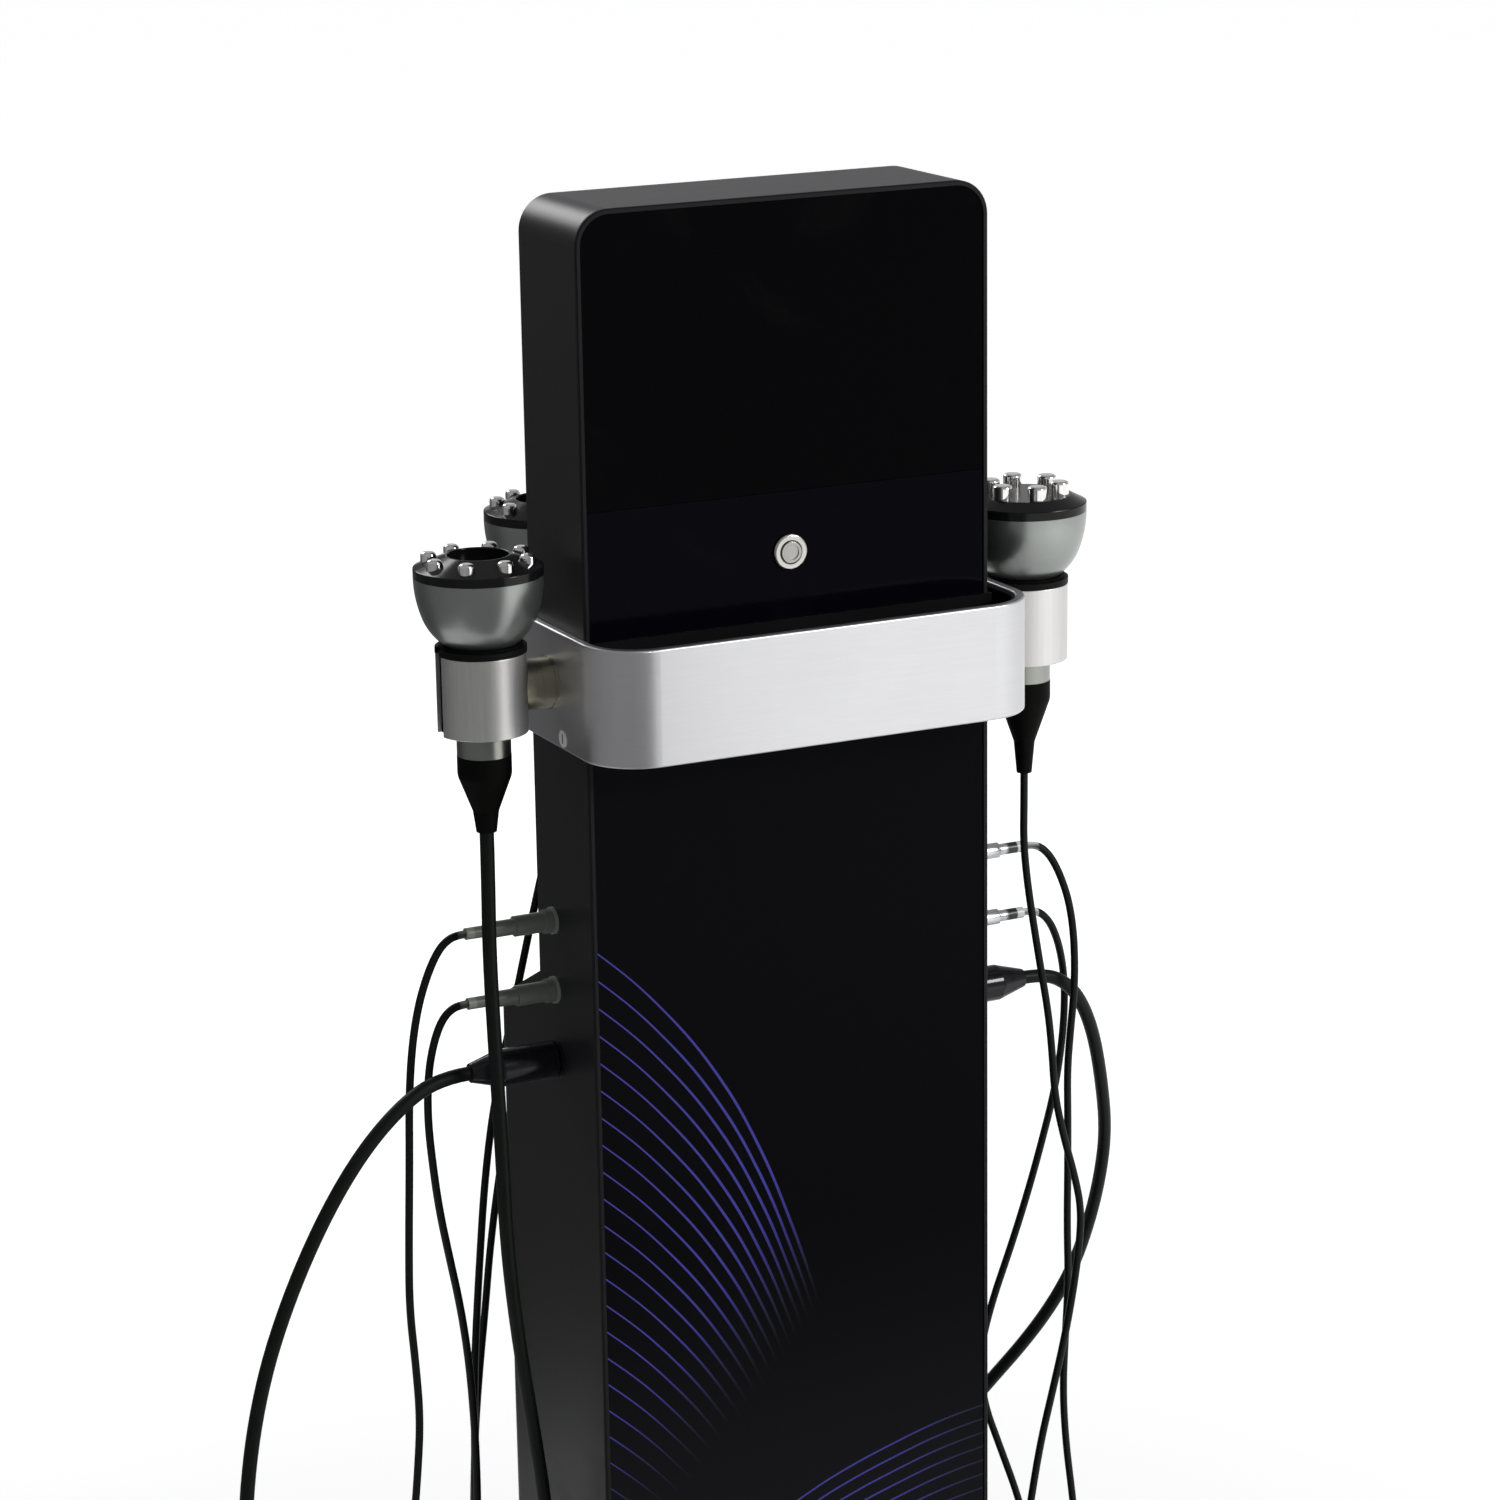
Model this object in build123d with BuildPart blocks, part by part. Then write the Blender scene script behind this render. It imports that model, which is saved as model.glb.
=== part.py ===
from build123d import *
from math import pi, radians, tan
import os

os.makedirs("parts", exist_ok=True)

# Clearances and overruns
overrun = 1.0
slip_gap = 0.2
seat_gap = 0.2
running_gap = 0.05
panel_gap = 0.3

# Column
column_width = 280.0
column_depth = 85.0
column_front_reach = 80.0
column_top = 1250.0
column_corner = 22.0
shell_wall = 3.0
rim_chamfer = 0.9
seat_flange_width = 7.0
seat_flange_thickness = 2.0
window_width = 190.0
window_rise = 160.0
window_drop = 95.0

# Front panels
panel_thickness = 4.0
panel_setback = 1.0
seam_drop = 182.8
control_panel_height = 142.7

# Screen module behind the glass
screen_module_width = 252.0
screen_module_height = 158.0
screen_module_depth = 9.0

# Rear cabinet
cabinet_depth = 75.0
cabinet_wall = 2.5
cabinet_drop = 160.9
cabinet_top_fall = 39.7
cabinet_corner = 15.0

# Plinth
plinth_width = 400.0
plinth_depth = 420.0
plinth_height = 40.0
plinth_wall = 4.0
plinth_corner = 42.0
plinth_edge_round = 3.0

# Swivel casters
caster_inset_x = 50.0
caster_inset_y = 75.0
wheel_radius = 37.5
wheel_width = 24.0
wheel_headroom = 18.5
wheel_tread_round = 5.0
wheel_web_inset = 4.0
wheel_rim = 9.0
wheel_hub_radius = 11.0
axle_radius = 4.0
caster_trail = 22.0
fork_cheek = 3.0
fork_side_gap = 1.2
fork_head_radius = 24.0
fork_head_thickness = 6.0
fork_head_gap = 0.5
fork_eye_radius = 10.0
stem_radius = 5.5
stem_length = 30.0
stem_boss_radius = 14.0
stem_end_gap = 2.0

# Power button
button_drop = 38.3
button_flange_radius = 11.5
button_flange_thickness = 2.4
button_flange_round = 1.5
button_barrel_radius = 9.3
button_barrel_length = 20.0
button_cap_radius = 6.8
button_cap_length = 7.0
button_cap_proud = 0.6
button_dish_radius = 5.0
button_dish_depth = 0.7
button_travel = 2.5
button_cap_gap = 0.15
button_mouth_chamfer = 0.8
button_cap_round = 0.4
button_nut_radius = 12.6
button_nut_thickness = 4.0

# Tray band
band_thickness = 6.0
tray_reach = 43.6
band_drop = 8.9
band_height = 73.7
band_corner = 36.0
band_right_gap = 11.0
band_lip_round = 1.4
tray_floor_rise = 36.4
tray_floor_thickness = 4.0

# Tray liner
liner_pan_wall = 2.0
liner_pan_floor = 2.5
liner_pan_drop = 2.3

# Screws at the sides of the band
band_screw_setback = 24.0
band_screw_rise = 7.2
band_screw_head_radius = 5.4
band_screw_head_thickness = 1.6
band_screw_proud = 0.4
band_screw_shank_radius = 2.5

# Rear rail
rail_end_margin = 30.5
rail_depth = 35.0
rail_height = 46.0
rail_wall = 4.0

# Handpiece holders
sleeve_radius = 28.0
sleeve_wall = 2.5
sleeve_height = 50.5
sleeve_drop = 25.5
sleeve_slot = 14.5
sleeve_edge_round = 0.5
cup_liner_wall = 2.4
cup_liner_slot = 11.0
cup_collar_radius = 28.3
cup_collar_thickness = 4.0
holder_side_offset = 51.0
holder_front_setback = 42.5
holder_rear_x = 87.5
holder_rear_offset = 57.6
slot_swing = 8.0
spigot_radius = 16.0
spigot_ring_radius = 16.6
spigot_ring_thickness = 2.0
spigot_rise = 39.4
spigot_stud_radius = 9.0

# Handpieces
neck_flange_radius = 26.0
neck_flange_thickness = 1.5
neck_gap = 0.6
neck_length = 12.2
stem_core_radius = 13.0
ferrule_radius = 16.8
ferrule_length = 57.0
boot_radius = 16.9
boot_straight = 13.0
thick_boot_waist_radius = 8.2
thick_boot_waist_drop = 36.0
thick_boot_tip_radius = 6.4
thick_boot_length = 49.5
thin_boot_waist_radius = 6.9
thin_boot_waist_drop = 42.0
thin_boot_tip_radius = 5.0
thin_boot_length = 63.0
boot_shoulder_round = 13.0
boot_waist_round = 7.0
bowl_radius = 40.0
bowl_depth = 42.3
bowl_middle_radius = 35.5
bowl_middle_rise = 16.8
bowl_foot_radius = 23.0
bowl_wall = 2.5
bowl_wire_hole = 8.0
face_spigot_length = 3.0
crown_band = 5.4
crown_height = 12.7
crown_inner_radius = 20.0
crown_recess_radius = 18.8
crown_recess_depth = 7.0
block_band = 5.6
block_height = 10.5
block_top_radius = 30.0
face_edge_round = 0.8
stud_radius = 1.8
stud_depth = 5.0
peg_count = 8
peg_circle_radius = 31.0
peg_radius = 4.9
peg_lift = 4.8
peg_seat_drop = 2.4
peg_round = 2.6
pillar_count = 6
pillar_circle_radius = 22.5
pillar_radius = 6.2
pillar_height = 8.8
pillar_round = 2.0
pillar_start_angle = -39.0

# Small probes and their cups
probe_x = 28.0
probe_cup_offset = 20.0
probe_cup_radius = 15.0
probe_cup_bore = 12.2
probe_cup_slot = 8.0
probe_lug_width = 14.0
probe_bore_gap = 0.3
probe_shoulder_radius = 14.2
probe_shoulder_thickness = 3.5
probe_tail_drop = 64.0
probe_tail_radius = 4.4
probe_boot_drop = 34.0
probe_boot_radius = 8.4
probe_waist_rise = 30.0
probe_waist_radius = 10.0
probe_head_rise = 74.0
probe_head_radius = 15.5
probe_top_rise = 88.0
probe_ball_radius = 3.6
probe_ball_circle = 8.5
probe_ball_count = 3

# Sockets and plugs at the sides
socket_setback = 61.0
thick_socket_drop = 212.6
socket_pitch = 46.0
socket_flange_thickness = 2.0
thin_socket_flange_radius = 8.8
thin_socket_barrel_radius = 7.0
thin_socket_bore_radius = 4.8
thick_socket_flange_radius = 13.0
thick_socket_barrel_radius = 10.0
thick_socket_bore_radius = 7.0
socket_barrel_length = 17.0
plug_nose_length = 9.0
thin_plug_ring_radius = 7.8
thin_plug_ring_length = 5.0
thin_plug_body_radius = 6.6
thin_plug_body_length = 20.0
thin_plug_grip_radius = 5.2
thin_plug_grip_length = 14.0
thin_plug_tail_radius = 3.8
thin_plug_tail_length = 58.0
thick_plug_body_radius = 12.0
thick_plug_body_length = 38.0
thick_plug_tail_radius = 6.2
thick_plug_tail_length = 58.0
plug_edge_round = 1.0

# Cords
thick_cord_diameter = 9.2
thin_cord_diameter = 5.2

# Modules inside
generator_width = 210.0
generator_depth = 60.0
generator_height = 150.0
supply_width = 200.0
supply_depth = 50.0
supply_height = 110.0
vent_slot_length = 60.0
vent_slot_width = 3.0
vent_slot_pitch = 8.0
vent_slot_count = 8
vent_slot_depth = 2.0
board_width = 200.0
board_height = 110.0
board_drop = 104.5
board_thickness = 1.6
board_standoff = 8.0
board_standoff_radius = 3.0
board_margin = 8.0
board_chip_width = 34.0
board_chip_depth = 9.0
board_chip_height = 26.0
board_chip_pitch = 58.0
board_chip_count = 3

# Cooling fan
fan_size = 80.0
fan_depth = 20.0
fan_drop = 115.0
fan_duct_radius = 37.5
fan_spider = 3.0
fan_spoke_width = 5.0
fan_hub_radius = 15.0
fan_pin_radius = 3.0
fan_pin_length = 12.0
fan_rotor_hub_radius = 14.0
fan_rotor_hub_length = 13.0
fan_tip_gap = 1.5
fan_blade_thickness = 1.6
fan_blade_chord = 12.0
fan_blade_count = 7
fan_blade_pitch = 35.0
grille_slot_width = 4.0
grille_slot_pitch = 8.0
grille_slot_count = 8

# Mains inlet with rocker switch
inlet_rise = 200.0
inlet_flange_width = 48.0
inlet_flange_height = 66.0
inlet_flange_thickness = 2.5
inlet_body_width = 42.0
inlet_body_height = 58.0
inlet_body_depth = 26.0
inlet_recess_width = 24.6
inlet_recess_height = 16.6
inlet_recess_depth = 18.0
inlet_recess_drop = 13.0
inlet_pin_width = 2.0
inlet_pin_height = 4.0
inlet_pin_length = 12.0
inlet_pin_pitch = 7.0
rocker_rise = 14.0
rocker_radius = 9.2
rocker_gap = 0.4
rocker_width = 12.6
rocker_pivot_depth = 6.5
rocker_back_reach = 8.4
rocker_pin_radius = 1.5
rocker_pin_length = 2.0
rocker_face_reach = 8.4

# Derived places of the base and the column
plinth_bottom = 2 * wheel_radius + wheel_headroom + fork_head_thickness + fork_head_gap
plinth_top = plinth_bottom + plinth_height
caster_spread_x = plinth_width - 2 * caster_inset_x
caster_spread_y = plinth_depth - 2 * caster_inset_y
front_y = -column_front_reach
back_y = front_y + column_depth
side_x = column_width / 2
panel_front_y = front_y + panel_setback
panel_back_y = panel_front_y + panel_thickness
panel_half_width = side_x - shell_wall - panel_gap
column_bottom = plinth_top
inner_floor = column_bottom + shell_wall
inner_back_y = back_y - shell_wall
seam_height = column_top - seam_drop
lower_panel_top = seam_height - control_panel_height
button_height = seam_height - button_drop
board_bottom = lower_panel_top - board_drop

# Derived places of the band, rail and holders
band_front_y = front_y - tray_reach
band_bottom = lower_panel_top - band_drop
band_top = band_bottom + band_height
band_inner_x = {-1: side_x, 1: side_x + band_right_gap}
band_outer_x = {side: inner_x + band_thickness for side, inner_x in band_inner_x.items()}
band_screw_y = front_y + band_screw_setback
band_screw_height = band_bottom + band_screw_rise
tray_floor_top = band_bottom + tray_floor_rise
spigot_height = band_bottom + spigot_rise
rail_width = 2 * (holder_rear_x + rail_end_margin)
rail_bottom = spigot_height - rail_height / 2
rail_top = rail_bottom + rail_height
rail_back_y = back_y + rail_depth
sleeve_bottom = spigot_height - sleeve_drop
sleeve_top = sleeve_bottom + sleeve_height
cup_liner_outer = sleeve_radius - sleeve_wall - slip_gap
cup_liner_bore = cup_liner_outer - cup_liner_wall
holder_side_reach = side_x + holder_side_offset
holder_front_y = front_y + holder_front_setback
holder_rear_y = rail_back_y + holder_rear_offset
holder_places = {
    "left_front": (-holder_side_reach, holder_front_y),
    "right_front": (holder_side_reach, holder_front_y),
    "left_rear": (-holder_rear_x, holder_rear_y),
    "right_rear": (holder_rear_x, holder_rear_y),
}
slot_angles = {
    "left_front": 180.0 - slot_swing,
    "right_front": slot_swing,
    "left_rear": 90.0,
    "right_rear": 90.0,
}

# Derived places of the handpieces
rest_height = sleeve_top + cup_collar_thickness + seat_gap
ferrule_bottom = rest_height - neck_length - ferrule_length
bowl_foot_height = rest_height + neck_flange_thickness
bowl_middle_height = bowl_foot_height + bowl_middle_rise
bowl_rim_height = bowl_foot_height + bowl_depth
peg_start_angles = {
    "left_front": 9.2,
    "left_rear": 19.0,
}

# Derived places of the sockets, cabinet, fan and inlet
socket_y = front_y + socket_setback
thick_socket_height = band_bottom - thick_socket_drop
cabinet_back_y = back_y + cabinet_depth
cabinet_inner_back = cabinet_back_y - cabinet_wall
cabinet_front_top = band_bottom - cabinet_drop
cabinet_back_top = cabinet_front_top - cabinet_top_fall
window_bottom = column_bottom + window_rise
window_top = cabinet_back_top - window_drop
fan_height = cabinet_back_top - fan_drop
inlet_height = column_bottom + inlet_rise


def keep(piece, label):
    piece.part.label = label
    export_step(piece.part, f"parts/{label}.step")
    print(label, len(piece.part.solids()), round(piece.part.volume))


def upright(x, y):
    return Plane(origin=(x, y, 0), x_dir=(1, 0, 0), z_dir=(0, -1, 0))


def upright_axis(x, y):
    return Axis((x, y, 0), (0, 0, 1))


def sideways(side, y, z):
    return Plane(origin=(0, y, z), x_dir=(side, 0, 0), z_dir=(0, 1, 0))


def sideways_axis(side, y, z):
    return Axis((0, y, z), (side, 0, 0))


def arch(y, half_width, bottom, top, corner):
    with BuildSketch(Plane.XZ.offset(-y)) as outline:
        with Locations((0, bottom)):
            Rectangle(2 * half_width, top - bottom, align=(Align.CENTER, Align.MIN))
        fillet(outline.vertices().group_by(Axis.Y)[-1], radius=corner)
    return outline.sketch


# Column shell
inner_half_width = side_x - shell_wall
inner_corner = column_corner - shell_wall
inner_top = column_top - shell_wall
with BuildPart() as column_shell:
    extrude(arch(front_y, side_x, column_bottom, column_top, column_corner), amount=-column_depth)
    chamfer(column_shell.faces().sort_by(Axis.Y)[0].edges(), length=rim_chamfer)
    extrude(arch(front_y, inner_half_width, inner_floor, inner_top, inner_corner),
            amount=-(column_depth - shell_wall), mode=Mode.SUBTRACT)
    extrude(arch(panel_back_y, inner_half_width, inner_floor, inner_top, inner_corner),
            amount=-seat_flange_thickness)
    extrude(arch(panel_back_y, inner_half_width - seat_flange_width, inner_floor + seat_flange_width,
                 inner_top - seat_flange_width, inner_corner - seat_flange_width),
            amount=-seat_flange_thickness, mode=Mode.SUBTRACT)
    with BuildSketch(Plane.XZ.offset(-inner_back_y)):
        with Locations((0, (window_bottom + window_top) / 2)):
            Rectangle(window_width, window_top - window_bottom)
    extrude(amount=-(shell_wall + overrun), mode=Mode.SUBTRACT)
    for side in (-1, 1):
        for step in (0, 1, 2):
            barrel_radius = thick_socket_barrel_radius if step == 0 else thin_socket_barrel_radius
            place = (side * side_x, socket_y, thick_socket_height + step * socket_pitch)
            with Locations(Location(place, (0, 90, 0))):
                Cylinder(barrel_radius + slip_gap, 2 * (shell_wall + overrun), mode=Mode.SUBTRACT)
        with Locations(Location((side * side_x, band_screw_y, band_screw_height), (0, 90, 0))):
            Cylinder(band_screw_shank_radius + slip_gap, 2 * (shell_wall + overrun), mode=Mode.SUBTRACT)
keep(column_shell, "column_shell")

# Rear cabinet
with BuildPart() as rear_cabinet:
    with BuildSketch(Plane.YZ.offset(-side_x)):
        with BuildLine():
            Polyline((back_y, column_bottom), (cabinet_back_y, column_bottom),
                     (cabinet_back_y, cabinet_back_top), (back_y, cabinet_front_top), close=True)
        make_face()
    extrude(amount=column_width)
    upright_edges = rear_cabinet.edges().filter_by(Axis.Z)
    fillet(upright_edges.group_by(Axis.Y)[-1], radius=cabinet_corner)
    offset(amount=-cabinet_wall, openings=rear_cabinet.faces().sort_by(Axis.Y)[0])
    with BuildSketch(Plane.XZ.offset(-cabinet_inner_back)):
        with Locations((0, fan_height)):
            with GridLocations(0, grille_slot_pitch, 1, grille_slot_count):
                SlotOverall(fan_duct_radius, grille_slot_width)
        with Locations((0, inlet_height)):
            Rectangle(inlet_body_width + 2 * slip_gap, inlet_body_height + 2 * slip_gap)
    extrude(amount=-(cabinet_wall + overrun), mode=Mode.SUBTRACT)
keep(rear_cabinet, "rear_cabinet")

# Screen glass
with BuildPart() as screen_glass:
    extrude(arch(panel_front_y, panel_half_width, seam_height + panel_gap / 2, inner_top - panel_gap,
                 inner_corner - panel_gap), amount=-panel_thickness)
keep(screen_glass, "screen_glass")

# Screen module on the back of the glass
glass_middle = (seam_height + inner_top) / 2
with BuildPart() as screen_module:
    with BuildSketch(Plane.XZ.offset(-panel_back_y)):
        with Locations((0, glass_middle)):
            Rectangle(screen_module_width, screen_module_height)
    extrude(amount=-screen_module_depth)
keep(screen_module, "screen_module")

# Control panel with the button's hole
with BuildPart() as control_panel:
    with BuildSketch(Plane.XZ.offset(-panel_front_y)):
        with Locations((0, (lower_panel_top + seam_height) / 2)):
            Rectangle(2 * panel_half_width, seam_height - lower_panel_top - panel_gap)
        with Locations((0, button_height)):
            Circle(button_barrel_radius + slip_gap, mode=Mode.SUBTRACT)
    extrude(amount=-panel_thickness)
keep(control_panel, "control_panel")

# Lower front panel
with BuildPart() as lower_front_panel:
    with BuildSketch(Plane.XZ.offset(-panel_front_y)):
        with Locations((0, inner_floor + panel_gap)):
            Rectangle(2 * panel_half_width, lower_panel_top - panel_gap / 2 - inner_floor - panel_gap,
                      align=(Align.CENTER, Align.MIN))
    extrude(amount=-panel_thickness)
keep(lower_front_panel, "lower_front_panel")

# Power button: bezel with nut, and cap
button_front_y = panel_front_y - button_flange_thickness
cap_front_y = button_front_y - button_cap_proud
cap_back_y = cap_front_y + button_cap_length
cap_bore = button_cap_radius + button_cap_gap
cap_bore_end_y = cap_back_y + button_travel + seat_gap
with BuildPart() as button_bezel:
    with BuildSketch(Plane.XZ.offset(-button_front_y)):
        with Locations((0, button_height)):
            Circle(button_flange_radius)
    extrude(amount=-button_flange_thickness)
    fillet(button_bezel.faces().sort_by(Axis.Y)[0].edges(), radius=button_flange_round)
    with BuildSketch(Plane.XZ.offset(-panel_front_y)):
        with Locations((0, button_height)):
            Circle(button_barrel_radius)
    extrude(amount=-button_barrel_length)
    with BuildSketch(Plane.XZ.offset(-panel_back_y)):
        with Locations((0, button_height)):
            RegularPolygon(button_nut_radius, 6)
    extrude(amount=-button_nut_thickness)
    with BuildSketch(Plane.XZ.offset(-button_front_y)):
        with Locations((0, button_height)):
            Circle(cap_bore)
    extrude(amount=-(cap_bore_end_y - button_front_y), mode=Mode.SUBTRACT)
    mouth_edge = button_bezel.faces().sort_by(Axis.Y)[0].edges().sort_by(SortBy.LENGTH)[0]
    chamfer(mouth_edge, length=button_mouth_chamfer)
keep(button_bezel, "button_bezel")

with BuildPart() as button_cap:
    with BuildSketch(Plane.XZ.offset(-cap_front_y)):
        with Locations((0, button_height)):
            Circle(button_cap_radius)
    extrude(amount=-button_cap_length)
    fillet(button_cap.faces().sort_by(Axis.Y)[0].edges(), radius=button_cap_round)
    with BuildSketch(Plane.XZ.offset(-cap_front_y)):
        with Locations((0, button_height)):
            Circle(button_dish_radius)
    extrude(amount=-button_dish_depth, mode=Mode.SUBTRACT)
keep(button_cap, "button_cap")

# Tray band: an open U of flat bar with the tray's floor in it; it stands off the column at the right
def band_outline(level, reach_x, front, corner):
    with BuildSketch(Plane.XY.offset(level)) as outline:
        with Locations((-reach_x[-1], front)):
            Rectangle(reach_x[-1] + reach_x[1], back_y - front, align=(Align.MIN, Align.MIN))
        fillet(outline.vertices().group_by(Axis.Y)[0], radius=corner)
    return outline.sketch


def tray_outline(level, gap):
    reach_x = {side: inner_x - gap for side, inner_x in band_inner_x.items()}
    with BuildSketch(Plane.XY.offset(level)) as outline:
        inset = band_thickness + gap
        add(band_outline(0, reach_x, band_front_y + inset, band_corner - inset))
        with Locations((-side_x - overrun, front_y - gap)):
            Rectangle(column_width + overrun + gap, column_depth + overrun + gap,
                      align=(Align.MIN, Align.MIN), mode=Mode.SUBTRACT)
    return outline.sketch


with BuildPart() as tray_band:
    extrude(band_outline(band_bottom, band_outer_x, band_front_y, band_corner), amount=band_height)
    extrude(band_outline(band_bottom, band_inner_x, band_front_y + band_thickness,
                         band_corner - band_thickness), amount=band_height, mode=Mode.SUBTRACT)
    fillet(tray_band.faces().sort_by(Axis.Z)[-1].edges(), radius=band_lip_round)
    fillet(tray_band.faces().sort_by(Axis.Z)[0].edges(), radius=band_lip_round)
    for side in (-1, 1):
        wall_x = side * band_inner_x[side]
        with Locations(Location((wall_x, band_screw_y, band_screw_height), (0, 90, 0))):
            Cylinder(band_screw_shank_radius + slip_gap, 2 * (band_thickness + overrun), mode=Mode.SUBTRACT)
        head_seat_x = side * (band_outer_x[side] + band_screw_proud)
        with Locations(Location((head_seat_x, band_screw_y, band_screw_height), (0, 90, 0))):
            Cylinder(band_screw_head_radius + slip_gap, 2 * band_screw_head_thickness, mode=Mode.SUBTRACT)
        with Locations(Location((wall_x, holder_front_y, spigot_height), (0, 90, 0))):
            Cylinder(spigot_stud_radius + slip_gap, 2 * (band_thickness + overrun), mode=Mode.SUBTRACT)
    extrude(tray_outline(tray_floor_top - tray_floor_thickness, 0), amount=tray_floor_thickness)
keep(tray_band, "tray_band")

# Screws that hold the band to the column
with BuildPart() as band_screws:
    for side in (-1, 1):
        with BuildSketch(sideways(side, band_screw_y, band_screw_height)):
            with BuildLine():
                head_top = band_outer_x[side] + band_screw_proud
                head_foot = head_top - band_screw_head_thickness
                Polyline((side_x - 2 * shell_wall, 0), (side_x - 2 * shell_wall, band_screw_shank_radius),
                         (head_foot, band_screw_shank_radius), (head_foot, band_screw_head_radius),
                         (head_top, band_screw_head_radius), (head_top, 0), close=True)
            make_face()
        revolve(axis=sideways_axis(side, band_screw_y, band_screw_height))
keep(band_screws, "band_screws")

# Tray liner, a thin pan with an arm beside the column
liner_height = band_top - liner_pan_drop - tray_floor_top
with BuildPart() as tray_liner:
    extrude(tray_outline(tray_floor_top, slip_gap), amount=liner_height)
    with BuildSketch(Plane.XY.offset(tray_floor_top + liner_pan_floor)):
        add(tray_outline(0, slip_gap))
        offset(amount=-liner_pan_wall, mode=Mode.REPLACE)
    extrude(amount=liner_height, mode=Mode.SUBTRACT)
keep(tray_liner, "tray_liner")

# Rear rail, a flat tube across the back of the column
with BuildPart() as rear_rail:
    with BuildSketch(Plane.YZ.offset(-rail_width / 2)):
        with Locations((back_y + rail_depth / 2, (rail_bottom + rail_top) / 2)):
            Rectangle(rail_depth, rail_top - rail_bottom)
            Rectangle(rail_depth - 2 * rail_wall, rail_top - rail_bottom - 2 * rail_wall,
                      mode=Mode.SUBTRACT)
    extrude(amount=rail_width)
    for side in (-1, 1):
        with Locations(Location((side * holder_rear_x, rail_back_y, spigot_height), (90, 0, 0))):
            Cylinder(spigot_stud_radius + slip_gap, 2 * (rail_wall + overrun), mode=Mode.SUBTRACT)
keep(rear_rail, "rear_rail")


# Holder sleeves: open tubes with a slot that faces outward
def slotted_ring(name, outer, inner, level, slot):
    x, y = holder_places[name]
    with BuildSketch(Plane.XY.offset(level)) as ring:
        with Locations((x, y)):
            Circle(outer)
            Circle(inner, mode=Mode.SUBTRACT)
        with Locations(Location((x, y, 0), slot_angles[name])):
            Rectangle(outer + overrun, slot, align=(Align.MIN, Align.CENTER), mode=Mode.SUBTRACT)
    return ring.sketch


def make_sleeves(names):
    with BuildPart() as sleeves:
        for name in names:
            sleeve_bore = sleeve_radius - sleeve_wall
            extrude(slotted_ring(name, sleeve_radius, sleeve_bore, sleeve_bottom, sleeve_slot),
                    amount=sleeve_top - sleeve_bottom)
        outer_edges = sleeves.edges().filter_by(GeomType.CIRCLE).group_by(SortBy.RADIUS)[-1]
        fillet(outer_edges, radius=sleeve_edge_round)
    return sleeves


def make_cup_liners(names):
    with BuildPart() as liners:
        for name in names:
            extrude(slotted_ring(name, cup_liner_outer, cup_liner_bore, sleeve_bottom, cup_liner_slot),
                    amount=sleeve_top - sleeve_bottom)
            extrude(slotted_ring(name, cup_collar_radius, cup_liner_bore, sleeve_top, cup_liner_slot),
                    amount=cup_collar_thickness)
    return liners


for row in ("front", "rear"):
    row_names = (f"left_{row}", f"right_{row}")
    keep(make_sleeves(row_names), f"{row}_sleeves")
    keep(make_cup_liners(row_names), f"{row}_cup_liners")

# Spigots that carry the sleeves, saddled on them
spigot_seats = []
for side in (-1, 1):
    side_root_x = band_inner_x[side]
    side_plane = Plane(origin=(side * side_root_x, holder_front_y, spigot_height), x_dir=(0, 1, 0),
                       z_dir=(side, 0, 0))
    spigot_seats.append((side_plane, band_thickness, holder_side_reach - sleeve_radius / 2 - side_root_x))
    rear_root_y = rail_back_y - rail_wall
    rear_plane = Plane(origin=(side * holder_rear_x, rear_root_y, spigot_height), x_dir=(1, 0, 0),
                       z_dir=(0, 1, 0))
    spigot_seats.append((rear_plane, rail_wall, holder_rear_y - sleeve_radius / 2 - rear_root_y))
with BuildPart() as holder_spigots:
    for plane, wall, reach in spigot_seats:
        with BuildSketch(plane):
            Circle(spigot_stud_radius)
        extrude(amount=wall)
        with BuildSketch(plane.offset(wall)):
            Circle(spigot_ring_radius)
        extrude(amount=spigot_ring_thickness)
        with BuildSketch(plane.offset(wall)):
            Circle(spigot_radius)
        extrude(amount=reach - wall)
    with BuildSketch(Plane.XY.offset(sleeve_bottom)):
        for holder_place in holder_places.values():
            with Locations(holder_place):
                Circle(sleeve_radius + seat_gap)
    extrude(amount=sleeve_top - sleeve_bottom, mode=Mode.SUBTRACT)
keep(holder_spigots, "holder_spigots")


# Handpiece: bowl with its ferrule below
def make_bowl(x, y):
    with BuildPart() as bowl:
        with BuildSketch(upright(x, y)):
            with BuildLine():
                upper = TangentArc((bowl_radius, bowl_rim_height), (bowl_middle_radius, bowl_middle_height),
                                   tangent=(0, -1))
                TangentArc(upper @ 1, (bowl_foot_radius, bowl_foot_height), tangent=upper % 1)
                Polyline((bowl_foot_radius, bowl_foot_height), (0, bowl_foot_height), (0, bowl_rim_height),
                         (bowl_radius, bowl_rim_height))
            make_face()
        revolve(axis=upright_axis(x, y))
        offset(amount=-bowl_wall, openings=bowl.faces().sort_by(Axis.Z)[-1])
        with Locations((x, y, bowl_foot_height)):
            Cylinder(bowl_wire_hole, 2 * (bowl_wall + overrun), mode=Mode.SUBTRACT)
        with BuildSketch(Plane.XY.offset(ferrule_bottom)):
            with Locations((x, y)):
                Circle(ferrule_radius)
                Circle(stem_core_radius + slip_gap / 2, mode=Mode.SUBTRACT)
        extrude(amount=rest_height - neck_length - ferrule_bottom)
    return bowl


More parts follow.
